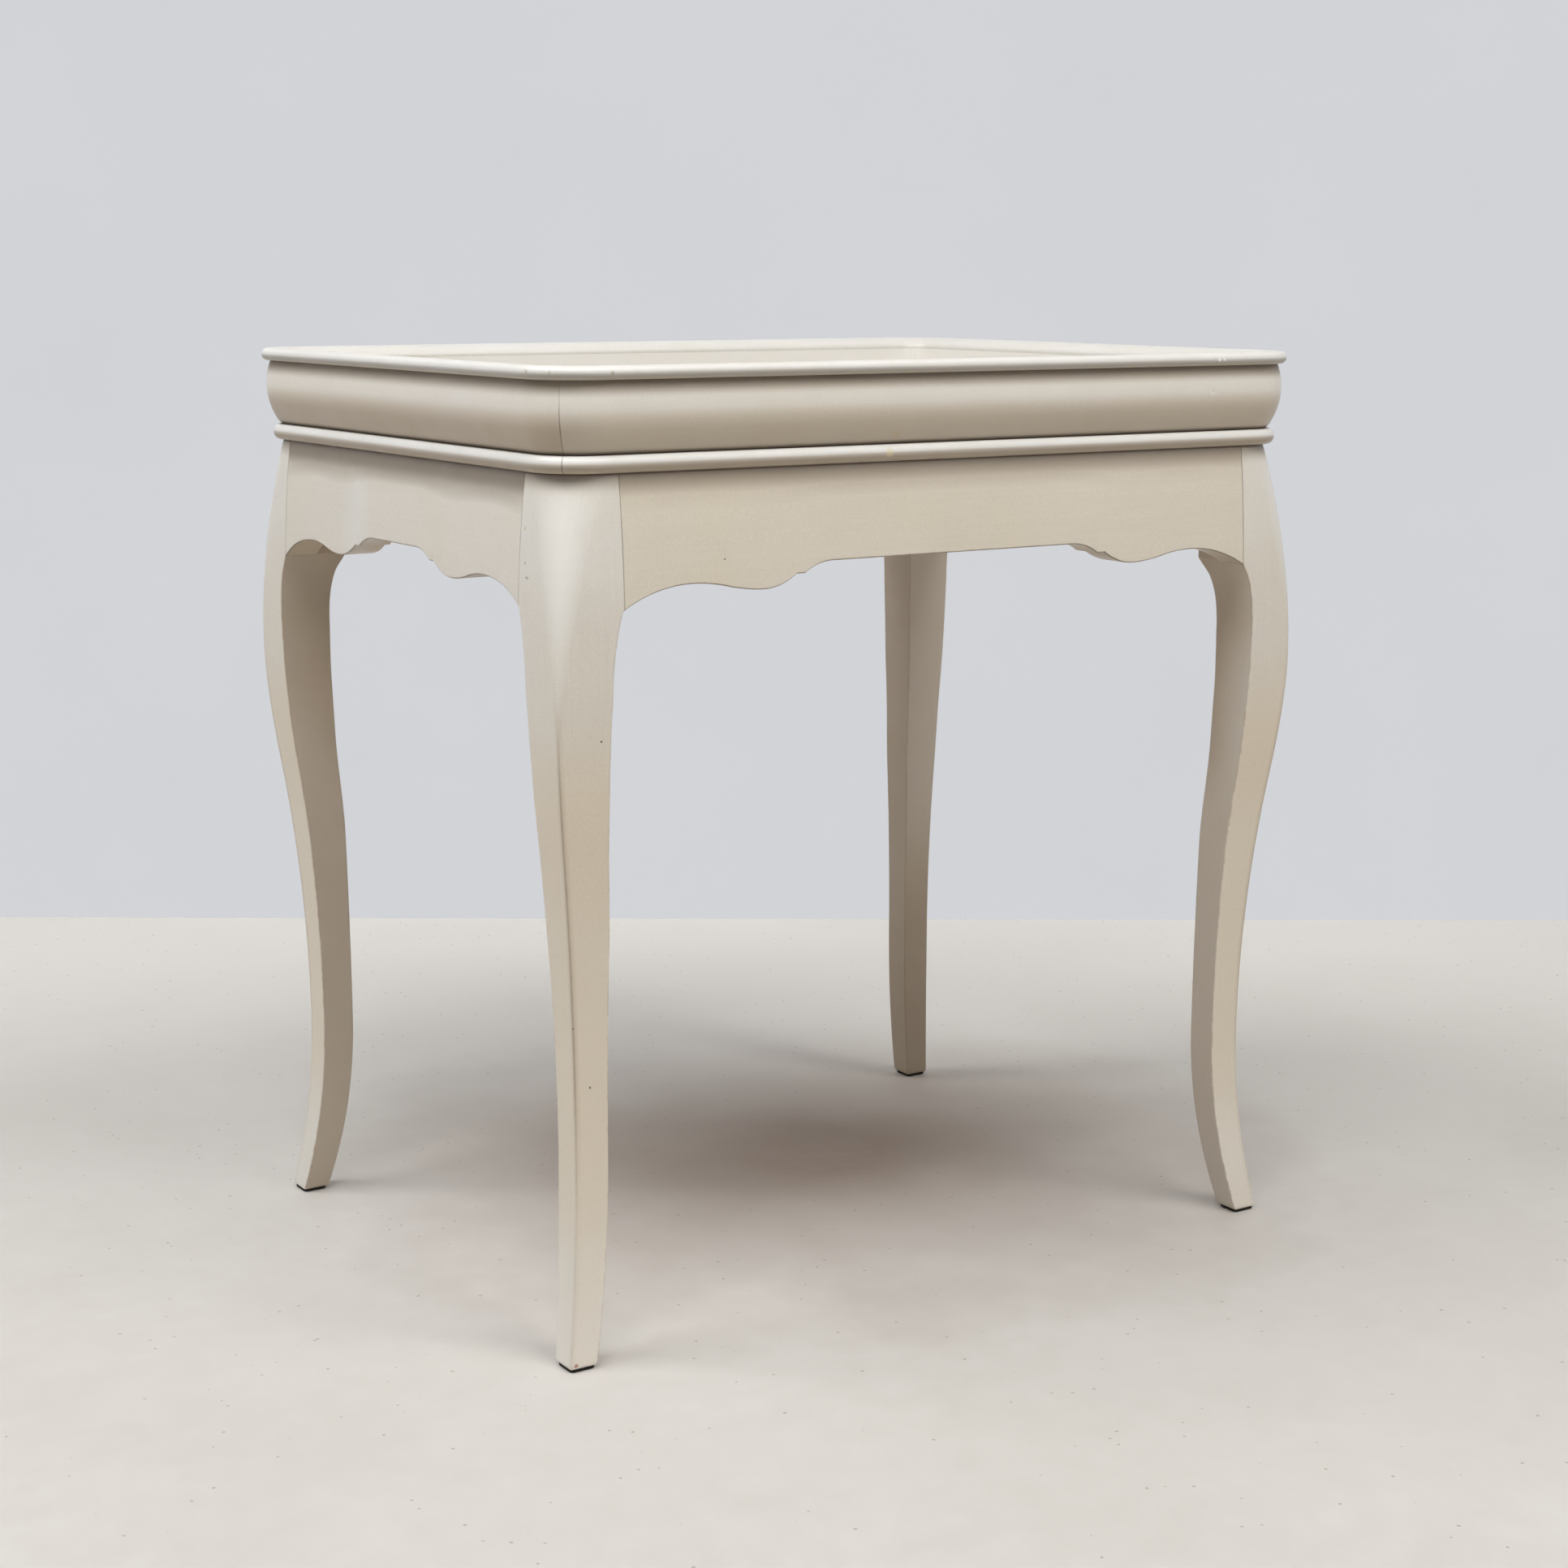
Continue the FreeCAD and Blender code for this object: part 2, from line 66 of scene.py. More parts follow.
def piece(name, points, faces, material, stands_for, marks=(), sharp=35):
    """A mesh piece given in millimetres. Each point's marks become attributes for the material."""
    mesh = bpy.data.meshes.new(name)
    mesh.from_pydata([(x * MM, y * MM, z * MM) for x, y, z in points], [], faces)
    for key in marks[0] if marks else ():
        layer = mesh.attributes.new(key, "FLOAT", "POINT")
        layer.data.foreach_set("value", [row[key] for row in marks])
    work = bmesh.new()
    work.from_mesh(mesh)
    bmesh.ops.remove_doubles(work, verts=work.verts, dist=MERGE_DISTANCE)
    bmesh.ops.dissolve_degenerate(work, dist=SLIVER, edges=work.edges)
    bmesh.ops.recalc_face_normals(work, faces=work.faces)
    work.to_mesh(mesh)
    work.free()
    mesh.shade_smooth()
    mesh.set_sharp_from_angle(angle=math.radians(sharp))
    mesh.materials.append(material)
    obj = bpy.data.objects.new(name, mesh)
    bpy.context.scene.collection.objects.link(obj)
    even = obj.modifiers.new("even_normals", "WEIGHTED_NORMAL")
    even.keep_sharp = True
    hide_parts(stands_for)
    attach(obj, "root")


def skin(rings):
    """Points and faces of a tube through rings of equal length, closed at both ends."""
    count, last = len(rings[0]), len(rings) - 1
    points = [p for ring in rings for p in ring]
    faces = []
    for i in range(last):
        here, there = i * count, (i + 1) * count
        for j in range(count):
            k = (j + 1) % count
            faces.append((here + j, here + k, there + k, there + j))
    faces.append(tuple(range(count)))
    faces.append(tuple(range(last * count, len(points))))
    return points, faces


def ease(t):
    """A smooth step from 0 to 1."""
    t = min(max(t, 0.0), 1.0)
    return t * t * (3 - 2 * t)


def arc(cx, cy, rx, ry, start, end, count):
    """Points of an elliptic arc, angles in degrees."""
    found = []
    for i in range(count + 1):
        a = math.radians(start + (end - start) * i / count)
        found.append((cx + rx * math.cos(a), cy + ry * math.sin(a)))
    return found


def on_side(points, side):
    """Places points drawn for the front, or for the right with the table's sides swapped."""
    if side == "front":
        return points
    if side == "back":
        return [(x, -y, z) for x, y, z in points]
    turned = [(-y, x, z) for x, y, z in points]
    return turned if side == "right" else [(-x, y, z) for x, y, z in turned]


def halves(side):
    """Half the length of a side, and half the table's width across it."""
    return (LENGTH / 2, WIDTH / 2) if side in LONG_SIDES else (WIDTH / 2, LENGTH / 2)


# Tray mouldings: a section of points with marks, run along a side to both mitres

MITRE, BEND_RADIUS, GROOVE_WIDTH = 45.0, 38.0, 0.6
# Noses and the rim's dome, as ellipses: inset and height of the centre, and the two radii
RIM_NOSE, BASE_NOSE = (4.6, 694.7, 4.6, 4.7), (12.8, 634.0, 5.0, 6.0)
RIM_DOME = (9.0, 691.0, WALL_INSET - 9.0, 8.4)
BASE_EDGE, BASE_EDGE_ROUND = 59.0, 0.8


# The darkening mark of a point holds soiling in joints and painted shade under beads and in
# recesses.
def at(inset, height, wear=0.0, crevice_dirt_and_shade=0.0, raw=0.0):
    """A point of a section, with its marks."""
    return inset, height, wear, crevice_dirt_and_shade, raw


def inward_normals(section):
    """Unit normals at the points of a section, pointing into it."""
    count = len(section)
    area = sum(section[i - 1][0] * section[i][1] - section[i][0] * section[i - 1][1]
               for i in range(count))
    turn = 1.0 if area > 0 else -1.0
    found = []
    for i in range(count):
        (ax, az), (bx, bz) = section[i - 1][:2], section[(i + 1) % count][:2]
        tx, tz = bx - ax, bz - az
        size = math.hypot(tx, tz) or 1.0
        found.append((-tz / size * turn, tx / size * turn))
    return found


def moulding_stations(straight):
    """Angle round the corner and distance along the side, from one mitre to the other."""
    bends = [MITRE * i / 9 for i in range(1, 9)] + [MITRE]
    bends += [MITRE - math.degrees(d / BEND_RADIUS) for d in (2.0, GROOVE_WIDTH, 0.3)]
    bends.sort()
    found = [(-bend, -straight) for bend in reversed(bends)]
    found += [(0.0, straight * (i / 10 - 1)) for i in range(21)]
    return found + [(bend, straight) for bend in bends]


def moulding(name, section, side, material, stands_for, groove, stained_and_shaded, painted_light):
    """Runs a section along a side. Stains with painted shade, and painted highlights, are found
    from a point's inset and height.
    """
    half_length, half_width = halves(side)
    straight = half_length - CORNER
    normals = inward_normals(section)
    rings, marks = [], []
    for angle, along in moulding_stations(straight):
        bend = math.radians(angle)
        to_mitre = math.radians(MITRE - abs(angle)) * BEND_RADIUS
        close = max(0.0, 1 - to_mitre / GROOVE_WIDTH) if groove else 0.0
        ring = []
        for (inset, height, wear, crevice_dirt_and_shade, raw), (to_x, to_z) in zip(section, normals):
            d = inset + groove * close * to_x
            z = height + groove * close * to_z
            if d < CORNER:
                x = along + (CORNER - d) * math.sin(bend)
                y = CORNER - half_width - (CORNER - d) * math.cos(bend)
            else:
                x = along * (half_length - d) / straight
                y = d - half_width
            ring.append((x, y, z))
            # Marks: dark mitre joints, wear, darkening with painted shade, bare wood, stains with
            # painted shade, and painted highlights.
            marks.append({"seam": close * (1 - 0.75 * ease((height - 662.0) / 18.0)),
                          "wear": wear, "crevice_dirt_and_shade": crevice_dirt_and_shade, "raw": raw,
                          "stain_and_shade": stained_and_shaded(inset, height), "pale": painted_light(inset, height)})
        rings.append(on_side(ring, side))
    points, faces = skin(rings)
    piece(name, points, faces, material, stands_for, marks)


def rim_section():
    """A round nose outside and a domed top that falls to the wall inside."""
    found = []
    for x, z in arc(*RIM_NOSE, 270, 90, 18):
        # Painted shade on the lower half of the nose, and in the crevice under the rim.
        dirt_and_shade = 0.42 * ease((695.7 - z) / 2.3) * (1 - 0.9 * ease((692.4 - z) / 1.3))
        found.append(at(x, z, 0.06 if z > 692 else 0.0, dirt_and_shade))
    found += [at(x, z) for x, z in arc(*RIM_DOME, 90, 0, 18)]
    return found + [at(WALL_INSET, RIM_BASE), at(20.0, RIM_BASE), at(7.4, RIM_BASE, crevice_dirt_and_shade=0.9)]


def swell_inset(z):
    return FRIEZE_INSET + SWELL_RADIUS - math.sqrt(SWELL_RADIUS ** 2 - (z - SWELL_HEIGHT) ** 2)


def frieze_section():
    """The swelling wall, rounded into the quirk at its foot, and the flat wall inside."""
    # Painted shade at the top of the swell, under the rim.
    found = [at(swell_inset(RIM_BASE), RIM_BASE, crevice_dirt_and_shade=1.0),
             at(swell_inset(RIM_BASE - 0.8), RIM_BASE - 0.8, crevice_dirt_and_shade=0.8)]
    for i in range(25):
        z = SWELL_TOP - (SWELL_TOP - SWELL_FOOT) * i / 24
        # Darker in the quirk at the foot, and a band of painted shade under the rim.
        dirt_and_shade = max(0.0, 1 - (z - 641.5) / 3.0) * 0.3 + 0.78 * ease((z - 677.6) / 9.5)
        found.append(at(swell_inset(z), z, crevice_dirt_and_shade=dirt_and_shade))
    foot = swell_inset(SWELL_FOOT)
    # Soiling and painted shade in the quirk at the foot.
    found += [at(foot + 0.9, FRIEZE_BASE + 2.2, 0.1, 0.55),
              at(foot + 1.7, FRIEZE_BASE + 1.4, crevice_dirt_and_shade=0.8),
              at(foot + 2.7, FRIEZE_BASE + 0.6, crevice_dirt_and_shade=1.0),
              at(foot + 3.4, FRIEZE_BASE, crevice_dirt_and_shade=1.0),
              at(22.0, FRIEZE_BASE), at(WALL_INSET, FRIEZE_BASE, crevice_dirt_and_shade=0.6)]
    # The inner wall grows darker towards the tray floor.
    for z in (TRAY_FLOOR, 650.0, 654.0, 670.0, RIM_BASE - 1.5, RIM_BASE):
        found.append(at(WALL_INSET, z, crevice_dirt_and_shade=max(0.0, 1 - (z - TRAY_FLOOR) / 5.0) * 0.6))
    return found


def base_section():
    """The lower bead on the edge of the flat base frame, bare wood further in."""
    found = []
    for x, z in arc(*BASE_NOSE, 270, 90, 18):
        # Dark lines where the bead meets the apron and the swelling wall, partly painted shade, and
        # painted shade on the bead's lower half, eased off just above its foot.
        dirt_and_shade = max(0.0, 1 - (z - FRAME_TOP) / 0.4) * 0.9
        dirt_and_shade += max(0.0, 1 - (FRIEZE_BASE - z) / 0.4) * 0.8
        dirt_and_shade += 0.3 * ease((635.6 - z) / 3.0) * (1 - 0.95 * ease((631.2 - z) / 1.8))
        found.append(at(x, z, 0.06 if 636 < z < 639.5 else 0.0, dirt_and_shade))
    found += [at(15.0, FRIEZE_BASE, crevice_dirt_and_shade=1.0), at(24.0, FRIEZE_BASE, crevice_dirt_and_shade=0.4, raw=0.4),
              at(40.0, FRIEZE_BASE, raw=1.0)]
    edge = arc(BASE_EDGE, FRIEZE_BASE - BASE_EDGE_ROUND, BASE_EDGE_ROUND, BASE_EDGE_ROUND, 90, 0, 3)
    edge += arc(BASE_EDGE, FRAME_TOP + BASE_EDGE_ROUND, BASE_EDGE_ROUND, BASE_EDGE_ROUND, 0, -90, 3)
    found += [at(x, z, raw=1.0) for x, z in edge]
    return found + [at(44.0, FRAME_TOP, raw=1.0), at(30.0, FRAME_TOP, raw=0.5),
                    at(20.0, FRAME_TOP, crevice_dirt_and_shade=0.6)]


# Legs

ROUND_HEIGHT, LEAST_ROUND, TOP_ROUND = 440.0, 0.7, 42.0
SMALL_ROUND, JOINT_ROUND = 0.9, 0.35
SOLE_EASE, SOLE_HEIGHT = 1.4, 3.0
SLIM = 2.6
# A leg's section turns round these corners, and the face of the same number follows each of them
OUTER_X, OUTERMOST, OUTER_Y, INNERMOST = range(4)
FACE_OUT_X, FACE_OUT_Y, FACE_IN_X, FACE_IN_Y = range(4)
# Points of the section: arcs of 6, 23, 6 and 6 with 5 between each, the first 45 on the outer faces
OUTER_COUNT = 45
# The pale mark is a painted highlight, and the darkening marks carry painted shade besides stains
# and soiling.
CLEAN = dict.fromkeys(("seam", "wear", "raw", "stain_and_shade", "pale", "warm", "crevice_dirt_and_shade"), 0.0)


def reach(z):
    """How far the leg's outer face stands out from the foot's at a height."""
    if z > TURN_HEIGHT:
        radius = RADII * (1 - TURN_SHARE)
        return KNEE_REACH - radius + math.sqrt(radius ** 2 - (z - KNEE_HEIGHT) ** 2)
    radius = RADII * TURN_SHARE if z > ANKLE_HEIGHT else FOOT_RADIUS
    return ANKLE_REACH + radius - math.sqrt(radius ** 2 - (z - ANKLE_HEIGHT) ** 2)


def bow(run, rise, z):
    """Offset at a height along an arc that starts upright and ends after a run and a rise."""
    radius = (run ** 2 + rise ** 2) / (2 * run)
    return math.copysign(abs(radius) - math.sqrt(radius ** 2 - z ** 2), run)


def inner_reach(z):
    """Where the leg's inner face is, measured from the foot's outer face."""
    ankle, cove = ANKLE_REACH - ANKLE_DEPTH, KNEE_REACH - COVE_DEPTH
    if z > CORNER_HEIGHT:
        return -POST_DEPTH
    if z > COVE_HEIGHT:
        return cove + bow(-POST_DEPTH - cove, CORNER_HEIGHT - COVE_HEIGHT, z - COVE_HEIGHT)
    if z > ANKLE_HEIGHT:
        return ankle + bow(cove - ankle, COVE_HEIGHT - ANKLE_HEIGHT, z - ANKLE_HEIGHT)
    return ankle + bow(-FOOT_DEPTH - ankle, ANKLE_HEIGHT - PAD, ANKLE_HEIGHT - z)


def leg_round(z):
    """Radius of the leg's outer corner: broad at the top, a crisp arris from the knee down."""
    share = min(max((z - ROUND_HEIGHT) / (FRAME_TOP - ROUND_HEIGHT), 0.0), 1.0)
    return LEAST_ROUND + (TOP_ROUND - LEAST_ROUND) * share ** 1.45


def slimming(z, full_cove):
    """How far the inner faces stand back from the solid's. A full cove stands out at its top."""
    start = SLIM * ease((z - 305.0) / 85.0)
    if full_cove:
        return (start * ease((490.0 - z) / 75.0)
                - 1.3 * ease((z - 455.0) / 35.0) * ease((CORNER_HEIGHT - z) / 30.0))
    return (start * ease((520.0 - z) / 90.0)
            + 1.7 * ease((z - 480.0) / 40.0) * ease((CORNER_HEIGHT - z) / 16.0))


def leg_arcs(z, in_joint, full_cove):
    """The rounded corners of the +X +Y leg's section at a height."""
    low = min((z - PAD) / SOLE_HEIGHT, 1.0)
    shrink = SOLE_EASE * (1 - math.sqrt(1 - (1 - low) ** 2))
    out, inside = reach(z) - shrink, inner_reach(z) + shrink + slimming(z, full_cove)
    small = SMALL_ROUND + (JOINT_ROUND - SMALL_ROUND) * in_joint
    big = min(leg_round(z), out - inside - 3.0)
    corners = [(out, inside, small, -90.0, 5), (out, out, big, 0.0, 22),
               (inside, out, small, 90.0, 5), (inside, inside, small, 180.0, 5)]
    found = []
    for x, y, radius, start, count in corners:
        sx = 1 if x == out else -1
        sy = 1 if y == out else -1
        middle_x, middle_y = x - sx * radius, y - sy * radius
        found.append(arc(middle_x, middle_y, radius, radius, start, start + 90, count))
    return found


def base_line(z):
    """Painted shade, and a dark joint line deepened as painted shadow, at the top of legs and
    aprons under the base's bead.
    """
    return ease((z - 625.8) / 1.4), ease((z - 626.4) / 0.8)


def leg_ring(z, inner, joint, full_cove):
    """Section of the +X +Y leg at a height: its points and their marks.

    How much stains and painted shade darken the inner faces is given, and how clearly the joint on
    the X face shows.
    """
    in_joint = ease((z - CORNER_HEIGHT + 1.0) / 2.0)
    bare = ease((z - 548.0) / 8.0)
    warm_y = ease((480.0 - z) / 90.0)
    warm_x = warm_y * (0.3 + 0.5 * ease((z - 50.0) / 70.0))
    arris = ease((490.0 - z) / 90.0) * (0.3 + 0.7 * ease((z - 90.0) / 140.0))
    knee, top = ease((z - 480.0) / 70.0), ease((z - 600.0) / 24.0)
    inner_x, top_x, inner_y, low_y, turn_y = inner
    inner_x += (top_x - inner_x) * ease((z - 440.0) / 60.0)
    inner_y += (low_y - inner_y) * ease((turn_y - z) / 160.0)
    tilt = 0.35 * ease((z - 320.0) / 80.0) * (1 - in_joint)
    # The inner faces are darkened by stains and painted shade, and values above 1 add a deeper
    # painted shade.
    stain_and_shade_x, stain_and_shade_y = min(inner_x, 1.0), min(inner_y, 1.0)
    deep_shade_x, deep_shade_y = max(inner_x - 1.0, 0.0), max(inner_y - 1.0, 0.0)

    def corner_marks(corner, t):
        middle = 1 - abs(2 * t - 1)
        wear_and_painted_highlight = (1 - in_joint) * (0.5 + 0.5 * middle)
        if corner == OUTER_X:
            return {"seam": joint * in_joint * (1 - t), "wear": wear_and_painted_highlight,
                    "stain_and_shade": stain_and_shade_y * (1 - t), "warm": warm_x * t}
        # The rounded outer corner gets a painted highlight below the top, and a worn, darker arris
        # lower down.
        if corner == OUTERMOST:
            return {"seam": 0.18 * arris * middle, "wear": 0.5 * arris, "stain_and_shade": 0.9 * arris,
                    "pale": 0.9 * middle ** 0.45 * knee * (1 - 0.6 * top),
                    "warm": warm_x + (warm_y - warm_x) * t}
        if corner == OUTER_Y:
            return {"seam": in_joint * t, "wear": wear_and_painted_highlight, "stain_and_shade": stain_and_shade_x * t,
                    "warm": warm_y * (1 - t)}
        return {"wear": 0.5 * (1 - bare), "raw": bare,
                "stain_and_shade": stain_and_shade_x + (stain_and_shade_y - stain_and_shade_x) * t,
                "crevice_dirt_and_shade": deep_shade_x + (deep_shade_y - deep_shade_x) * t}

    def face_marks(face, t, by_arris):
        if face in (FACE_OUT_X, FACE_OUT_Y):
            return {"warm": warm_x if face == FACE_OUT_X else warm_y,
                    "stain_and_shade": 0.45 * arris if by_arris else 0.0}
        stained_and_shaded, dirt_and_shade = (stain_and_shade_x, deep_shade_x) if face == FACE_IN_X else (stain_and_shade_y, deep_shade_y)
        # Painted shade that grows across an inner face from one edge to the other.
        if face == FACE_IN_X and inner_x < 1.0:
            stained_and_shaded += tilt * (2.3 * t - 1)
        elif face == FACE_IN_Y and turn_y > 400.0:
            stained_and_shaded += tilt * (0.4 - 1.1 * t)
        return {"raw": bare, "stain_and_shade": min(max(stained_and_shaded, 0.0), 1.0), "crevice_dirt_and_shade": dirt_and_shade}

    ring, marks = [], []
    arcs = leg_arcs(z, in_joint, full_cove)
    for i, points in enumerate(arcs):
        ring += points
        marks += [corner_marks(i, j / (len(points) - 1)) for j in range(len(points))]
        (ax, ay), (bx, by) = points[-1], arcs[(i + 1) % 4][0]
        size = math.hypot(bx - ax, by - ay)
        near, far = min(0.9, size * 0.15), min(4.0, size * 0.33)
        steps = (near, far, size / 2, size - far, size - near)
        for j, d in enumerate(steps):
            t = d / size
            ring.append((ax + (bx - ax) * t, ay + (by - ay) * t))
            next_to_arris = (i, j) in ((FACE_OUT_X, len(steps) - 1), (FACE_OUT_Y, 0))
            marks.append(face_marks(i, t, next_to_arris))

    # Painted light: the outer faces are paler at the top and towards the foot.
    painted_light = (0.35 * ease((z - 520.0) / 60.0) + 0.14 * ease((380.0 - z) / 80.0)
             + 0.46 * ease((150.0 - z) / 110.0))
    # Painted shade under the base at the top of the leg; lower down the leg is faintly darker.
    top_shade_and_stain = max(0.5 * ease((z - 612.0) / 14.0),
              0.08 * ease((480.0 - z) / 90.0) * ease((z - 60.0) / 60.0))
    # A band of painted shade under the base's bead, and the joint line below it.
    top_shade, top_line = base_line(z)
    dirt_and_shade = max(0.65 * ease((z - 614.0) / 13.0), top_shade)
    least = {"stain_and_shade": top_shade_and_stain, "seam": top_line, "crevice_dirt_and_shade": dirt_and_shade}
    rows = []
    for i, found in enumerate(marks):
        row = {**CLEAN, **found}
        for key, value in least.items():
            row[key] = max(row[key], value)
        if i < OUTER_COUNT:
            row["pale"] = max(row["pale"], painted_light)
        rows.append(row)
    return [(FOOT_X + x, FOOT_Y + y, z) for x, y in ring], rows


def leg(corner, sign_x, sign_y, material, inner, joint, full_cove):
    """A cabriole leg, its rings closest at the sole, in the cove and at the top."""
    shank, post = SOLE_HEIGHT + PAD, CORNER_HEIGHT + 2.5
    levels = [PAD + d for d in (0.0, 0.15, 0.4, 0.8, 1.3, 2.0)]
    levels += [shank + (COVE_HEIGHT - shank) * i / 80 for i in range(81)]
    levels += [COVE_HEIGHT + (CORNER_HEIGHT - COVE_HEIGHT) * i / 26 for i in range(1, 27)]
    levels += [CORNER_HEIGHT + 0.6, CORNER_HEIGHT + 1.2]
    levels += [post + (FRAME_TOP - post) * i / 30 for i in range(31)]
    levels = sorted(levels + [626.1, 626.8, 627.4])
    rings, marks = [], []
    for z in levels:
        ring, found = leg_ring(z, inner, joint, full_cove)
        rings.append([(sign_x * x, sign_y * y, h) for x, y, h in ring])
        marks += found
    points, faces = skin(rings)
    piece("shaped_leg_" + corner, points, faces, material, "leg_" + corner, marks)


PAD_HALF, PAD_ROUND, PAD_PLACE = 10.0, 3.2, 11.0
# Heights and insets from the dished underside to the top
PAD_PROFILE = ((0.15, 4.0), (0.0, 2.8), (0.0, 1.6), (0.2, 0.8), (0.6, 0.25), (1.2, 0.0), (PAD, 0.0))


def pad(corner, sign_x, sign_y, material):
    """A thin pad with eased edges."""
    rings = []
    for z, inset in PAD_PROFILE:
        side, radius = PAD_HALF - inset, max(1.0, PAD_ROUND - inset)
        ring = []
        for i, (sx, sy) in enumerate(((1, -1), (1, 1), (-1, 1), (-1, -1))):
            middle_x, middle_y = sx * (side - radius), sy * (side - radius)
            ring += arc(middle_x, middle_y, radius, radius, 90 * i - 90, 90 * i, 4)
        rings.append([(sign_x * (FOOT_X - PAD_PLACE + x), sign_y * (FOOT_Y - PAD_PLACE + y), z)
                      for x, y in ring])
    points, faces = skin(rings)
    piece("soft_pad_" + corner, points, faces, material, "foot_pad_" + corner)


# Aprons

# Lengths of the lower edge's runs as shares of the short side's half opening, and their rises
CREST_SHARE, NOTCH_SHARE, STEP_SHARE, LEVEL_SHARE = 0.273, 0.142, 0.037, 0.119
LONG_OGEE_SHARE, SHORT_OGEE_SHARE = 0.289, 0.246
CREST_RISE, OGEE_RISE, NOTCH_RISE, STEP_RISE = 15.0, 3.4, 9.4, 7.6
# Rows of points on the face, from the top down to the eased lower edge
FACE_ROWS = (1.0, 0.991, 0.984, 0.978, 0.96, 0.93, 0.9, 0.87, 0.84, 0.8, 0.65, 0.5, 0.35, 0.22,
             0.12, 0.06, 0.025, 0.0)
EDGE_ROUND, JOINT_WIDTH, JOINT_SINK = 1.1, 0.8, 0.3


def level_bow(run, rise, x):
    """Offset at a distance along an arc that starts level and ends after a run and a rise."""
    radius = (run ** 2 + rise ** 2) / (2 * abs(rise))
    return math.copysign(radius - math.sqrt(radius ** 2 - x ** 2), rise)


def apron_runs(half_span, ogee_share):
    """Runs of the lower edge from the leg to the middle: end distance and height from distance."""
    crest = CREST_SHARE * POST_Y
    lobe = crest + ogee_share * POST_Y
    turn = (crest + lobe) / 2
    notch = lobe + NOTCH_SHARE * POST_Y
    step = notch + STEP_SHARE * POST_Y
    level = step + LEVEL_SHARE * POST_Y
    top = CORNER_HEIGHT + CREST_RISE
    low = top - 2 * OGEE_RISE
    shelf = low + NOTCH_RISE
    middle = shelf + STEP_RISE
    return [
        (crest, lambda d: top + level_bow(crest, -CREST_RISE, crest - d)),
        (turn, lambda d: top + level_bow(turn - crest, -OGEE_RISE, d - crest)),
        (lobe, lambda d: low + level_bow(lobe - turn, OGEE_RISE, lobe - d)),
        (notch, lambda d: low + level_bow(notch - lobe, NOTCH_RISE, d - lobe)),
        (step, lambda d: shelf),
        (level, lambda d: middle + level_bow(level - step, -STEP_RISE, level - d)),
        (half_span, lambda d: middle),
    ]


def apron_stations(half_span, ogee_share):
    """Place along the board, distance from the nearer leg and height of the edge, end to end."""
    runs = apron_runs(half_span, ogee_share)
    half, start = [], 0.0
    for end, height in runs:
        spacing = 2.2 if end < half_span else 12.0
        count = max(2, round((end - start) / spacing))
        half += [(start + (end - start) * i / count, height) for i in range(count)]
        start = end
    at_leg, at_middle = runs[0][1], runs[-1][1]
    half = [(d, at_leg) for d in (0.0, 0.35, 0.8, 1.4)] + [h for h in half if h[0] > 1.6]
    half = [(d, height(d)) for d, height in half + [(half_span, at_middle)]]
    found = [(d - half_span, d, height) for d, height in half]
    return found + [(half_span - d, d, height) for d, height in half[-2::-1]]


def apron(side, material):
    """A sawn board whose face follows the legs, with eased edges and hairline joints."""
    is_long = side in LONG_SIDES
    half_span, face = (POST_X, FOOT_Y) if is_long else (POST_Y, FOOT_X)
    # How dark and how far down the painted shade under the base's bead reaches; the short sides get
    # more.
    deep, fade = (0.82, 610.5) if is_long else (1.0, 606.0)
    back = face + reach(FRAME_TOP) - APRON_THICK
    edge = EDGE_ROUND
    rings, marks = [], []
    for x, d, height in apron_stations(half_span, LONG_OGEE_SHARE if is_long else SHORT_OGEE_SHARE):
        if is_long:
            lift = -1.0 - 0.5 * ease((d - 90.0) / 30.0)
        else:
            lift = 1.6 * ease(d / 20.0)
        low = height + lift
        close = max(0.0, 1 - d / JOINT_WIDTH)
        sink = JOINT_SINK * close
        seam = close * 0.35 if side == "left" and x > 0 else close
        ring = []

        def put(y, z, wear=0.0, crevice_dirt_and_shade=0.0, raw=0.0, stain_and_shade=0.0, line=0.0):
            ring.append((x, -y, z))
            marks.append({"seam": max(seam, line), "wear": wear, "crevice_dirt_and_shade": crevice_dirt_and_shade, "raw": raw,
                          "stain_and_shade": stain_and_shade})

        for t in FACE_ROWS:
            z = low + edge + (FRAME_TOP - low - edge) * t
            # Painted shade under the base's bead, and the joint line.
            top_shade, top_line = base_line(z)
            put(face + reach(z) - sink, z, crevice_dirt_and_shade=max(deep * ease((z - fade) / 15.0), top_shade),
                stain_and_shade=0.5 * ease((z - fade + 4.0) / 14.0), line=top_line)
        # The eased lower edge, the underside and the back get painted shade.
        front = face + reach(low + edge) - sink
        for dy, dz in arc(-edge, edge, edge, edge, -18, -90, 4):
            put(front + dy, low + dz, wear=1.0 if dz < 0.9 else 0.6,
                crevice_dirt_and_shade=0.75 if dz < 0.75 else 0.0, stain_and_shade=0.5)
        put(front - edge - 0.6, low, stain_and_shade=0.9)
        put(back + 5.0, low, stain_and_shade=0.9)
        for dy, dz in arc(edge, edge, edge, edge, 270, 180, 4):
            put(back + dy, low + dz, wear=0.5, stain_and_shade=0.8)
        middle = (low + FRAME_TOP) / 2
        for z, bare in ((low + 4.0, 0.25), (low + 9.0, 0.8), (middle, 1.0), (FRAME_TOP, 1.0)):
            put(back, z, raw=bare, stain_and_shade=0.8)
        rings.append(on_side(ring, side))
    points, faces = skin(rings)
    piece("sawn_apron_" + side, points, faces, material, "apron_" + side, marks,
          sharp=28)


# Materials

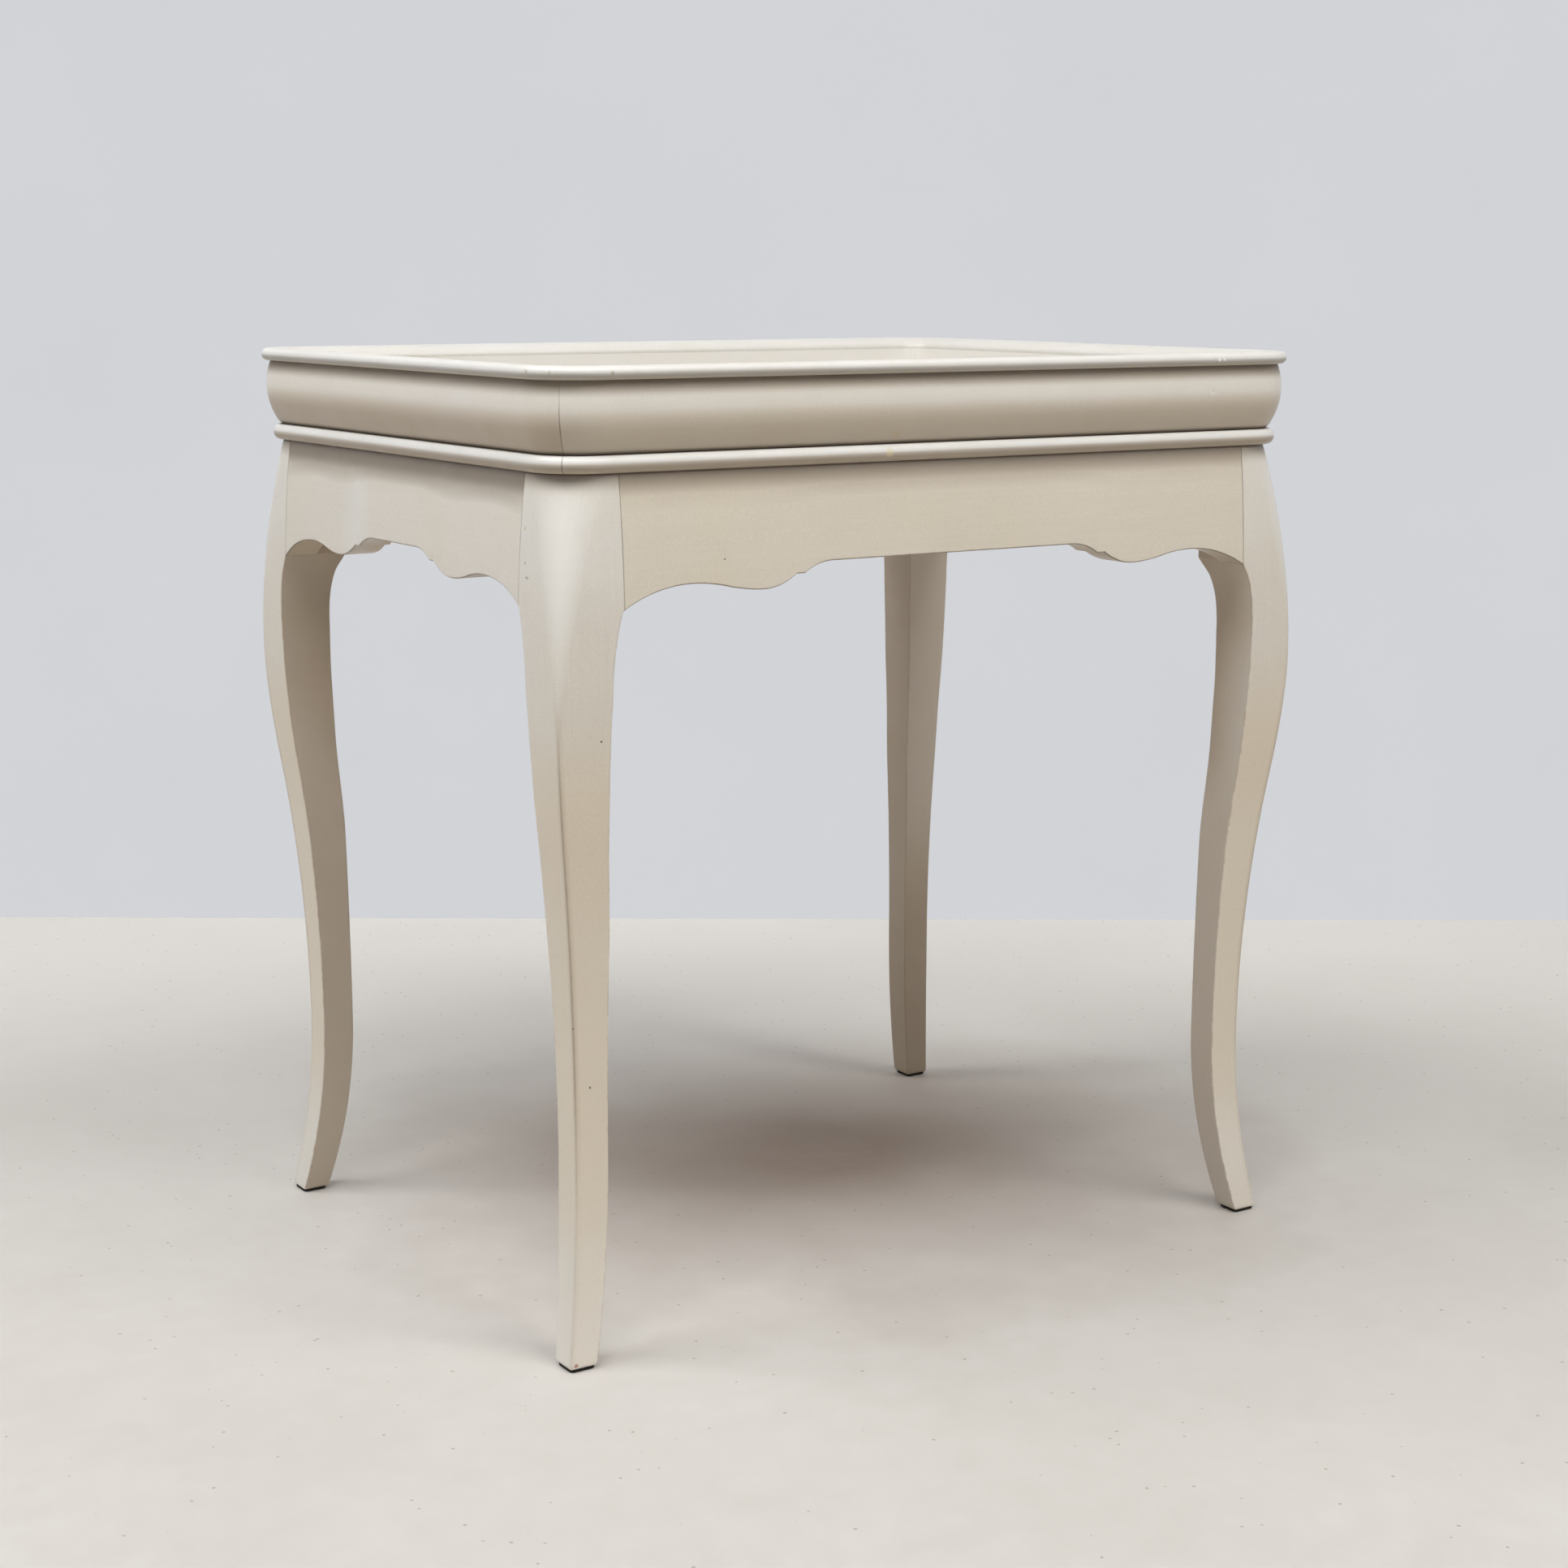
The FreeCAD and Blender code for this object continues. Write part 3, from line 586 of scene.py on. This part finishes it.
def linear(r, g, b):
    """A shader colour from levels of 255."""
    found = []
    for c in (r, g, b):
        c /= 255
        found.append(c / 12.92 if c <= 0.04045 else ((c + 0.055) / 1.055) ** 2.4)
    return tuple(found) + (1.0,)


class Nodes:
    """A small helper round one node tree."""

    def __init__(self, tree):
        self.tree = tree

    def put(self, socket, value):
        if isinstance(value, bpy.types.NodeSocket):
            self.tree.links.new(value, socket)
        else:
            socket.default_value = value

    def node(self, kind, inputs=None, **settings):
        made = self.tree.nodes.new(kind)
        for key, value in settings.items():
            setattr(made, key, value)
        for key, value in (inputs or {}).items():
            self.put(made.inputs[key], value)
        return made

    def math(self, operation, a, b=0.0, clamp=False):
        made = self.node("ShaderNodeMath", {0: a, 1: b}, operation=operation, use_clamp=clamp)
        return made.outputs[0]

    def times(self, a, b):
        return self.math("MULTIPLY", a, b)

    def span(self, value, low, high, to_low=0.0, to_high=1.0):
        made = self.node("ShaderNodeMapRange", {"Value": value, "From Min": low, "From Max": high,
                                                "To Min": to_low, "To Max": to_high}, clamp=True)
        return made.outputs["Result"]

    def mix_shaders(self, share, a, b):
        return self.node("ShaderNodeMixShader", {0: share, 1: a, 2: b}).outputs[0]

    def shows_backdrop(self):
        """1 for rays from the camera, through glass and off gloss, which see the plain backdrop."""
        path = self.node("ShaderNodeLightPath").outputs
        seen = self.math("MAXIMUM", path["Is Camera Ray"], path["Is Transmission Ray"])
        return self.math("MAXIMUM", seen, path["Is Glossy Ray"])


class Shade(Nodes):
    """The nodes of one new material."""

    def __init__(self, name):
        self.material = bpy.data.materials.new(name)
        self.material.use_nodes = True
        super().__init__(self.material.node_tree)
        self.shader = self.tree.nodes["Principled BSDF"]
        self.place = self.node("ShaderNodeTexCoord").outputs["Object"]

    def look(self, **inputs):
        """Sets inputs of the shader, named with _ for a space."""
        for key, value in inputs.items():
            self.put(self.shader.inputs[key.replace("_", " ")], value)

    def bump(self, strength, depth, height):
        made = self.node("ShaderNodeBump", {"Strength": strength, "Distance": depth,
                                            "Height": height})
        self.look(Normal=made.outputs["Normal"])

    def at_place(self, operation, vector, output="Vector"):
        made = self.node("ShaderNodeVectorMath", {0: self.place, 1: vector}, operation=operation)
        return made.outputs[output]

    def noise(self, scale, detail=3.0, rough=0.5, vector=None, distortion=0.0):
        made = self.node("ShaderNodeTexNoise", {"Vector": vector or self.place, "Scale": scale,
                                                "Detail": detail, "Roughness": rough,
                                                "Distortion": distortion})
        return made.outputs["Fac"]

    def cells(self, scale, above):
        """Distance from the middles of scattered cells, and which few of the cells are chosen."""
        made = self.node("ShaderNodeTexVoronoi", {"Vector": self.place, "Scale": scale})
        parts = self.node("ShaderNodeSeparateColor", {"Color": made.outputs["Color"]})
        return made.outputs["Distance"], self.math("GREATER_THAN", parts.outputs["Red"], above)

    def weighted(self, *parts):
        """The sum of values times their weights."""
        total = None
        for value, weight in parts:
            part = self.times(value, weight)
            total = part if total is None else self.math("ADD", total, part)
        return total

    def mix(self, share, a, b, blend="MIX"):
        made = self.node("ShaderNodeMix", {0: share, 6: a, 7: b}, data_type="RGBA",
                         blend_type=blend)
        return made.outputs[2]

    def mark(self, name):
        return self.node("ShaderNodeAttribute", attribute_name=name).outputs["Fac"]


def stretched(shade, along, fine, coarse):
    """The place, with noise drawn out along one axis."""
    return shade.at_place("MULTIPLY", tuple(coarse if axis == along else fine for axis in "xyz"))


def wood_colour(shade, along):
    """Pale sawn wood: growth rings and fibres drawn out along one axis."""
    rings = shade.noise(2.2, 5.0, 0.55, stretched(shade, along, 60.0, 6.0), 0.6)
    fibre = shade.noise(14.0, 3.0, 0.6, stretched(shade, along, 60.0, 6.0))
    colour = shade.mix(shade.span(rings, 0.35, 0.68), linear(204, 176, 136), linear(172, 136, 95))
    return shade.mix(shade.span(fibre, 0.4, 0.75, 0.0, 0.35), colour, linear(138, 102, 68)), fibre


def fresh_paint(shade, colour, warm, cloud, brush):
    """The paint's own colour, with soft drift, yellowing and a fine grain."""
    r, g, b = colour
    drift = shade.noise(4.5, 2.0)
    mild = shade.weighted((drift, 0.45), (cloud, 0.25), (brush, 0.30))
    tone = shade.mix(shade.span(mild, 0.36, 0.64), linear(r - 4, g - 5, b - 6),
                     linear(r + 3, g + 3, b + 4))
    patches = shade.noise(7.0, 3.0, 0.55, shade.at_place("MULTIPLY", (1.0, 1.3, 0.8)))
    yellow = shade.span(patches, 0.48, 0.72, 0.0, warm)
    tone = shade.mix(yellow, tone, linear(r - 1, g - 4, b - 11))
    tone = shade.mix(shade.mark("warm"), tone, linear(r + 4, g - 3, b - 12))
    grain = shade.span(shade.noise(700.0, 2.0, 0.6), 0.35, 0.65, 0.965, 1.03)
    return shade.mix(1.0, tone, grain, "MULTIPLY")


def aged_paint_with_painted_light(shade, tone, cloud):
    """Painted highlights, stains with painted shade, worn places, soiled places with painted shade,
    and dark joints. Gives the colour, the wear, and the darkening by soiling and painted shade.
    """
    # A painted highlight: the marked places turn near white.
    wear_and_painted_highlight = shade.times(shade.mark("pale"), shade.span(cloud, 0.3, 0.7, 0.68, 0.84))
    tone = shade.mix(wear_and_painted_highlight, tone, linear(234, 232, 227))
    # Stains, and painted shade on undersides, recesses and inner faces, in a warm darker colour.
    stained_and_shaded = shade.times(shade.mark("stain_and_shade"), shade.span(cloud, 0.3, 0.7, 0.9, 1.0))
    tone = shade.mix(stained_and_shaded, tone, linear(182, 165, 143))
    worn = shade.times(shade.mark("wear"), shade.span(shade.noise(90.0, 4.0, 0.65), 0.46, 0.62))
    tone = shade.mix(shade.times(worn, 0.5), tone, linear(168, 143, 112))
    # Soiling in joints, and painted shade under beads, in a dark brown.
    uneven = shade.span(shade.noise(34.0, 2.0), 0.3, 0.7, 0.95, 1.0)
    grime_and_shade = shade.times(shade.mark("crevice_dirt_and_shade"), uneven)
    tone = shade.mix(shade.times(grime_and_shade, 0.75), tone, linear(88, 72, 55))
    broken = shade.span(shade.noise(60.0, 2.0), 0.25, 0.6, 0.4, 0.85)
    tone = shade.mix(shade.times(shade.mark("seam"), broken), tone, linear(92, 72, 56))
    return tone, worn, grime_and_shade


def spotted(shade, tone, spots):
    """Scattered flecks, and the single marks of wear in a list."""
    away, chosen = shade.cells(30.0, 0.93)
    fleck = shade.times(chosen, shade.span(away, 0.025, 0.012))
    tone = shade.mix(shade.times(fleck, 0.65), tone, linear(108, 84, 60))
    for centre, size, colour, strength in spots:
        radius = size * MM
        away = shade.at_place("DISTANCE", tuple(c * MM for c in centre), "Value")
        ragged = shade.math("SUBTRACT", shade.noise(800.0 / size, 2.0), 0.5)
        away = shade.math("ADD", away, shade.times(ragged, radius * 1.2))
        core = radius * (0.55 if size < 5 else 0.1)
        tone = shade.mix(shade.span(away, radius, core, 0.0, strength), tone, linear(*colour))
    return tone


def bare_share(shade, cloud, bare_below):
    """Where the paint ends: at the marks for raw wood, or on every face that looks down."""
    raw = shade.mark("raw")
    if bare_below:
        normal = shade.node("ShaderNodeNewGeometry").outputs["Normal"]
        upward = shade.node("ShaderNodeSeparateXYZ", {0: normal}).outputs["Z"]
        raw = shade.math("LESS_THAN", upward, -0.5)
    ragged = shade.math("ADD", raw, shade.times(shade.math("SUBTRACT", cloud, 0.5), 0.9))
    return shade.times(shade.span(ragged, 0.45, 0.6), shade.span(raw, 0.0, 0.15))


def paint(name, colour, along, warm, spots=(), rough=0.2, bare_below=False):
    """Aged satin paint on wood, brushed along an axis, with painted highlights and painted shade
    from the marks.
    """
    shade = Shade(name)
    cloud = shade.noise(26.0, 4.0, 0.6)
    brush = shade.noise(1.6, 3.0, 0.6, stretched(shade, along, 260.0, 5.0))
    tone = fresh_paint(shade, colour, warm, cloud, brush)
    tone, worn, grime_and_shade = aged_paint_with_painted_light(shade, tone, cloud)
    tone = spotted(shade, tone, spots)
    timber, fibre = wood_colour(shade, along)
    bare = bare_share(shade, cloud, bare_below)
    gloss = shade.math("ADD", cloud, shade.times(brush, 0.5))
    gloss = shade.span(gloss, 0.5, 1.0, 0.36, 0.5)
    gloss = shade.math("ADD", gloss, shade.times(bare, 0.3))
    gloss = shade.math("ADD", gloss, shade.times(grime_and_shade, 0.25), clamp=True)
    shade.look(Base_Color=shade.mix(bare, tone, timber), Roughness=gloss, Specular_IOR_Level=0.6,
               Coat_Weight=0.25, Coat_Roughness=0.28)
    peel = shade.noise(380.0, 2.0, 0.5)
    height = shade.weighted((brush, 0.55), (peel, 0.25), (cloud, 0.5))
    height = shade.math("SUBTRACT", height, shade.times(worn, 0.35))
    height = shade.math("ADD", height, shade.times(shade.times(bare, fibre), 1.2))
    shade.bump(rough, 0.0006, height)
    return shade.material


def raw_wood():
    """Bare wood with smears of paint."""
    shade = Shade("bare_wood")
    timber, fibre = wood_colour(shade, "x")
    smear = shade.span(shade.noise(30.0, 4.0, 0.6), 0.6, 0.75, 0.0, 0.5)
    shade.look(Base_Color=shade.mix(smear, timber, linear(196, 182, 158)),
               Roughness=shade.span(fibre, 0.3, 0.7, 0.6, 0.8))
    shade.bump(0.4, 0.0006, fibre)
    return shade.material


def nail_iron():
    """Dull iron with rust."""
    shade = Shade("cut_iron")
    scale = shade.noise(260.0, 4.0, 0.6)
    rust = shade.span(shade.noise(140.0, 4.0, 0.65), 0.5, 0.66)
    tone = shade.mix(shade.span(scale, 0.3, 0.7), linear(92, 90, 88), linear(136, 134, 130))
    shade.look(Base_Color=shade.mix(rust, tone, linear(110, 66, 40)),
               Metallic=shade.span(rust, 0.0, 1.0, 0.9, 0.1),
               Roughness=shade.span(rust, 0.0, 1.0, 0.45, 0.85))
    shade.bump(0.4, 0.0003, scale)
    return shade.material


def pad_rubber():
    """Black rubber with a little dust."""
    shade = Shade("black_pad")
    grain = shade.noise(700.0, 3.0, 0.6)
    dust = shade.span(shade.noise(160.0, 4.0, 0.6), 0.55, 0.8, 0.0, 0.15)
    tone = shade.mix(shade.span(grain, 0.3, 0.7), linear(17, 14, 11), linear(32, 27, 22))
    shade.look(Base_Color=shade.mix(dust, tone, linear(112, 100, 88)),
               Roughness=shade.span(grain, 0.3, 0.7, 0.75, 0.95), Specular_IOR_Level=0.3)
    shade.bump(0.5, 0.0003, grain)
    return shade.material


# The table

# Marks of wear: place and size in millimetres, colour, strength
BEAD_LONG_MARKS = [((-288.3, -256.0, 694.5), 2.0, (165, 148, 118), 0.55),
                   ((241.3, -256.0, 694.8), 1.7, (252, 252, 248), 1.0),
                   ((246.2, -256.0, 694.7), 1.5, (252, 252, 248), 1.0),
                   ((-58.9, -248.1, 634.7), 4.0, (224, 206, 146), 0.4)]
BEAD_SHORT_MARKS = [((-334.4, -221.7, 695.3), 1.7, (168, 150, 120), 0.6),
                    ((-326.0, -238.6, 695.2), 1.3, (175, 158, 128), 0.5)]
FRIEZE_MARKS = [((238.8, -252.6, 670.9), 3.6, (234, 231, 222), 0.8),
                ((238.8, -252.6, 671.4), 2.5, (214, 206, 192), 0.7),
                ((-53.0, -246.6, 647.0), 4.0, (196, 172, 120), 0.3)]
APRON_LONG_MARKS = [((-197.4, -248.8, 566.5), 0.9, (104, 90, 80), 0.9)]
APRON_SHORT_MARKS = [((-328.1, 62.0, 572.0), 30.0, (230, 229, 225), 0.5),
                     ((-327.5, 66.0, 596.0), 24.0, (230, 229, 225), 0.35)]
LEG_MARKS = [((-328.7, -205.7, 567.2), 1.0, (150, 105, 85), 0.8),
             ((-329.3, -208.0, 557.9), 1.0, (104, 84, 76), 0.9),
             ((-329.3, -210.0, 557.4), 1.0, (104, 84, 76), 0.9),
             ((-327.1, -203.3, 590.4), 1.8, (196, 176, 140), 0.6),
             ((-295.8, -249.1, 448.7), 0.9, (60, 45, 40), 1.0),
             ((-309.8, -229.9, 246.1), 0.7, (70, 50, 40), 0.9),
             ((-295.9, -228.1, 201.5), 1.0, (60, 50, 35), 1.0),
             ((-316.6, -241.1, 5.2), 1.8, (156, 92, 62), 0.8)]

bead_x = paint("bead_paint_long", (210, 206, 198), "x", 0.25, BEAD_LONG_MARKS, rough=0.05)
bead_y = paint("bead_paint_short", (210, 206, 198), "y", 0.25, BEAD_SHORT_MARKS, rough=0.05)
frieze_x = paint("frieze_paint_long", (222, 214, 200), "x", 0.4, FRIEZE_MARKS, rough=0.12)
frieze_y = paint("frieze_paint_short", (222, 212, 197), "y", 0.4, rough=0.12)
apron_x = paint("apron_paint_long", (222, 213, 197), "x", 0.6, APRON_LONG_MARKS)
apron_y = paint("apron_paint_short", (222, 215, 203), "y", 0.4, APRON_SHORT_MARKS)
leg_paint = paint("leg_paint", (222, 215, 203), "z", 0.3, LEG_MARKS)
floor_paint = paint("tray_floor_paint", (192, 187, 178), "x", 0.25, bare_below=True)
wood = raw_wood()
iron = nail_iron()
rubber = pad_rubber()

# How much stains and painted shade darken the legs' inner faces: X, its top, Y, its foot, and the
# height where that begins.
# Above 1 a deeper painted shade is added too.
INNER_STAIN_AND_SHADE = {"front_left": (0.85, 0.85, 0.85, 0.85, 300.0),
               "front_right": (0.48, 0.9, 0.85, 0.85, 300.0),
               "back_left": (0.85, 0.85, 1.17, 0.8, 500.0),
               "back_right": (1.15, 1.15, 0.5, 1.15, 300.0)}
# How clearly the joint on a leg's X face shows
JOINT_LINE = {"front_left": 1.0, "front_right": 1.0, "back_left": 0.35, "back_right": 1.0}
# How much painted shade darkens the foot of the swelling wall; the short sides get more.
LONG_FOOT_SHADE, SHORT_FOOT_SHADE = 0.76, 1.0


# Painted shade on the lower half of the rim's nose and its underside.
def rim_shade(d, z):
    return 0.6 * ease((693.6 - z) / 2.4) if d < 8 else 0.0


# A painted highlight on the upper front of the rim's nose.
def rim_highlight(d, z):
    return 0.82 * ease((z - 693.5) / 2.0) * ease((4.0 - d) / 3.5)


# Painted shade on the swelling wall: darker towards its foot and just under the rim.
def frieze_shade(foot_shade):
    def stained_and_shaded(d, z):
        if d >= 20:
            return 0.0
        return max(foot_shade * ease((672.5 - z) / 17.0), 0.6 * ease((z - 678.0) / 9.0))
    return stained_and_shaded


# A painted highlight across the middle of the swell; the inner wall is painted a paler tone.
def frieze_highlight_and_pale_wall(d, z):
    return 0.5 * ease((z - 664.0) / 8.0) * ease((686.0 - z) / 8.0) if d < 20 else 0.95


# Painted shade on the lower half of the base's bead.
def base_shade(d, z):
    return 0.95 * ease((636.4 - z) / 5.0)


# A painted highlight along the top of the base's bead.
def base_highlight(d, z):
    return ease((z - 633.5) / 2.0) if d < 13 else 0.0


WALL_GROOVE = 0.2

for side in LONG_SIDES + SHORT_SIDES:
    bead, frieze, board = bead_y, frieze_y, apron_y
    foot_shade = SHORT_FOOT_SHADE
    if side in LONG_SIDES:
        bead, frieze, board = bead_x, frieze_x, apron_x
        foot_shade = LONG_FOOT_SHADE
    moulding("round_rim_" + side, rim_section(), side, bead, "rim_bead_" + side,
             0.0, rim_shade, rim_highlight)
    moulding("swelling_wall_" + side, frieze_section(), side, frieze,
             "frieze_rail_" + side, WALL_GROOVE, frieze_shade(foot_shade), frieze_highlight_and_pale_wall)
    moulding("beaded_base_" + side, base_section(), side, bead,
             "base_rail_" + side, WALL_GROOVE, base_shade, base_highlight)
    apron(side, board)
for corner, signs in {"front_left": (-1, -1), "front_right": (1, -1), "back_left": (-1, 1),
                      "back_right": (1, 1)}.items():
    leg(corner, *signs, leg_paint, INNER_STAIN_AND_SHADE[corner], JOINT_LINE[corner], corner == "front_left")
    pad(corner, *signs, rubber)

# The solids that stay in sight: tray floor, corner blocks, mitre keys and nails
for name, obj in nodes.items():
    if obj.hide_render:
        continue
    chosen = {"tray_floor": floor_paint, "tray_nails": iron}.get(name, wood)
    for place in obj.material_slots:
        place.material = chosen
    soften = obj.modifiers.new("eased_edges", "BEVEL")
    soften.width = 0.00025 if name == "tray_nails" else 0.0006
    soften.segments = 2
    soften.limit_method = "ANGLE"

# Camera

YAW, PITCH, ROLL = math.radians(33.167), math.radians(10.597), math.radians(0.1185)
EYE = Vector((-1.20072, -1.85863, 0.76474))
camera_data = bpy.data.cameras.new("view")
camera_data.lens = 63.70
camera_data.sensor_width = 36.0
camera_data.sensor_fit = "HORIZONTAL"
camera = bpy.data.objects.new("view", camera_data)
GROUND = Vector((math.sin(YAW), math.cos(YAW), 0.0))
forward = Vector((math.sin(YAW) * math.cos(PITCH), math.cos(YAW) * math.cos(PITCH),
                  -math.sin(PITCH)))
right = Vector((math.cos(YAW), -math.sin(YAW), 0.0))
up = right.cross(forward)
axis_x = right * math.cos(ROLL) + up * math.sin(ROLL)
axis_y = up * math.cos(ROLL) - right * math.sin(ROLL)
turned = Matrix((axis_x, axis_y, -forward)).transposed()
camera.matrix_world = Matrix.Translation(EYE) @ turned.to_4x4()
bpy.context.scene.collection.objects.link(camera)
bpy.context.scene.camera = camera

# Floor, wall and light

WALL_DISTANCE, WALL_REACH, WALL_TOP, FLOOR_REACH = 3.215, 8, 5, 9
LAMP_AIM = (0.0, 0.0, 0.45)


def sheet(name, corners, material):
    mesh = bpy.data.meshes.new(name)
    mesh.from_pydata([tuple(c) for c in corners], [], [tuple(range(len(corners)))])
    mesh.materials.append(material)
    obj = bpy.data.objects.new(name, mesh)
    bpy.context.scene.collection.objects.link(obj)


def backdrop_look(shade, colour, share):
    """Shows a plain colour over a share of a sheet, and lets views from behind pass."""
    glow = shade.node("ShaderNodeEmission", {"Color": colour, "Strength": 1.0}).outputs[0]
    seen = shade.times(shade.shows_backdrop(), share)
    front = shade.mix_shaders(seen, shade.shader.outputs[0], glow)
    clear = shade.node("ShaderNodeBsdfTransparent").outputs[0]
    behind = shade.node("ShaderNodeNewGeometry").outputs["Backfacing"]
    shade.put(shade.tree.nodes["Material Output"].inputs["Surface"],
              shade.mix_shaders(behind, front, clear))


def floor_material():
    """Pale screed with faint cloudy patches and specks. A browner tone under the table is darkened
    further as a painted shadow, and the floor is painted paler towards the wall, where the lamps
    light it less.
    """
    shade = Shade("pale_floor")
    patch = shade.noise(2.4, 5.0, 0.6)
    fine = shade.noise(38.0, 5.0, 0.65)
    mild = shade.weighted((patch, 0.7), (fine, 0.3))
    tone = shade.mix(shade.span(mild, 0.38, 0.62), linear(200, 195, 188), linear(207, 203, 197))
    # A browner tone, darkened as a painted shadow, round a spot under the table.
    away = shade.at_place("DISTANCE", (0.1, 0.08, 0.0), "Value")
    near = shade.math("ADD", away, shade.times(patch, 0.3))
    tone = shade.mix(shade.span(near, 0.62, 0.18, 0.0, 0.85), tone, linear(126, 107, 91))
    # Painted light: paler towards the wall.
    far = shade.at_place("DOT_PRODUCT", tuple(GROUND), "Value")
    tone = shade.mix(shade.span(far, 0.2, 1.0, 0.0, 0.8), tone, linear(230, 226, 220))
    middle, picked = shade.cells(70.0, 0.6)
    ragged = shade.math("ADD", middle, shade.times(shade.noise(420.0, 3.0), 0.16))
    speck = shade.times(picked, shade.span(ragged, 0.19, 0.13, 0.0, 0.6))
    shade.look(Base_Color=shade.mix(speck, tone, linear(128, 116, 106)),
               Roughness=shade.span(fine, 0.3, 0.7, 0.6, 0.8))
    shade.bump(0.2, 0.001, fine)
    calm = shade.mix(mild, linear(213, 209, 203), linear(218, 214, 208))
    backdrop_look(shade, calm, shade.span(away, 1.0, 2.0))
    return shade.material


def wall_material():
    """Pale grey plaster."""
    shade = Shade("pale_wall")
    soft = shade.noise(3.0, 4.0, 0.6)
    tone = shade.mix(soft, linear(207, 209, 213), linear(212, 214, 218))
    shade.look(Base_Color=tone, Roughness=0.8)
    backdrop_look(shade, tone, 1.0)
    return shade.material


sheet("studio_floor", [Vector((x * FLOOR_REACH, y * FLOOR_REACH, 0))
                       for x, y in ((-1, -1), (1, -1), (1, 1), (-1, 1))], floor_material())
foot = Vector((EYE.x, EYE.y, 0.0)) + GROUND * WALL_DISTANCE
rise = Vector((0, 0, WALL_TOP))
sheet("studio_wall", [foot - right * WALL_REACH, foot + right * WALL_REACH,
                      foot + right * WALL_REACH + rise, foot - right * WALL_REACH + rise],
      wall_material())


def lamp(name, place, size, power, colour):
    """A square soft light that looks at the table."""
    data = bpy.data.lights.new(name, "AREA")
    data.shape = "RECTANGLE"
    data.size = size
    data.size_y = size
    data.energy = power
    data.color = colour
    obj = bpy.data.objects.new(name, data)
    obj.location = place
    obj.rotation_euler = (Vector(LAMP_AIM) - Vector(place)).to_track_quat("-Z", "Y").to_euler()
    obj.visible_camera = False
    bpy.context.scene.collection.objects.link(obj)


lamp("from_left", (-1.96, 0.53, 3.05), 1.6, 53.0, (0.97, 0.985, 1.0))
lamp("from_front", (0.53, -1.96, 3.05), 1.6, 54.0, (1.0, 0.99, 0.975))
lamp("key", (-1.3, -1.3, 3.19), 1.5, 38.0, (1.0, 1.0, 1.0))

# A soft dome of light, brighter overhead, which the camera sees as a plain pale grey
world = bpy.data.worlds.new("studio")
world.use_nodes = True
sky = Nodes(world.node_tree)
ray = sky.node("ShaderNodeTexCoord").outputs["Generated"]
overhead = sky.node("ShaderNodeSeparateXYZ", {0: ray}).outputs["Z"]
dome = sky.tree.nodes["Background"]
sky.put(dome.inputs["Color"], (0.95, 0.98, 1.0, 1.0))
sky.put(dome.inputs["Strength"], sky.span(overhead, 0.0, 1.0, 0.06, 0.26))
plain = sky.node("ShaderNodeBackground", {"Color": linear(211, 213, 217)})
sky.put(sky.tree.nodes["World Output"].inputs["Surface"],
        sky.mix_shaders(sky.shows_backdrop(), dome.outputs[0], plain.outputs[0]))
bpy.context.scene.world = world

bpy.context.scene.view_settings.view_transform = "Standard"

bpy.context.view_layer.update()
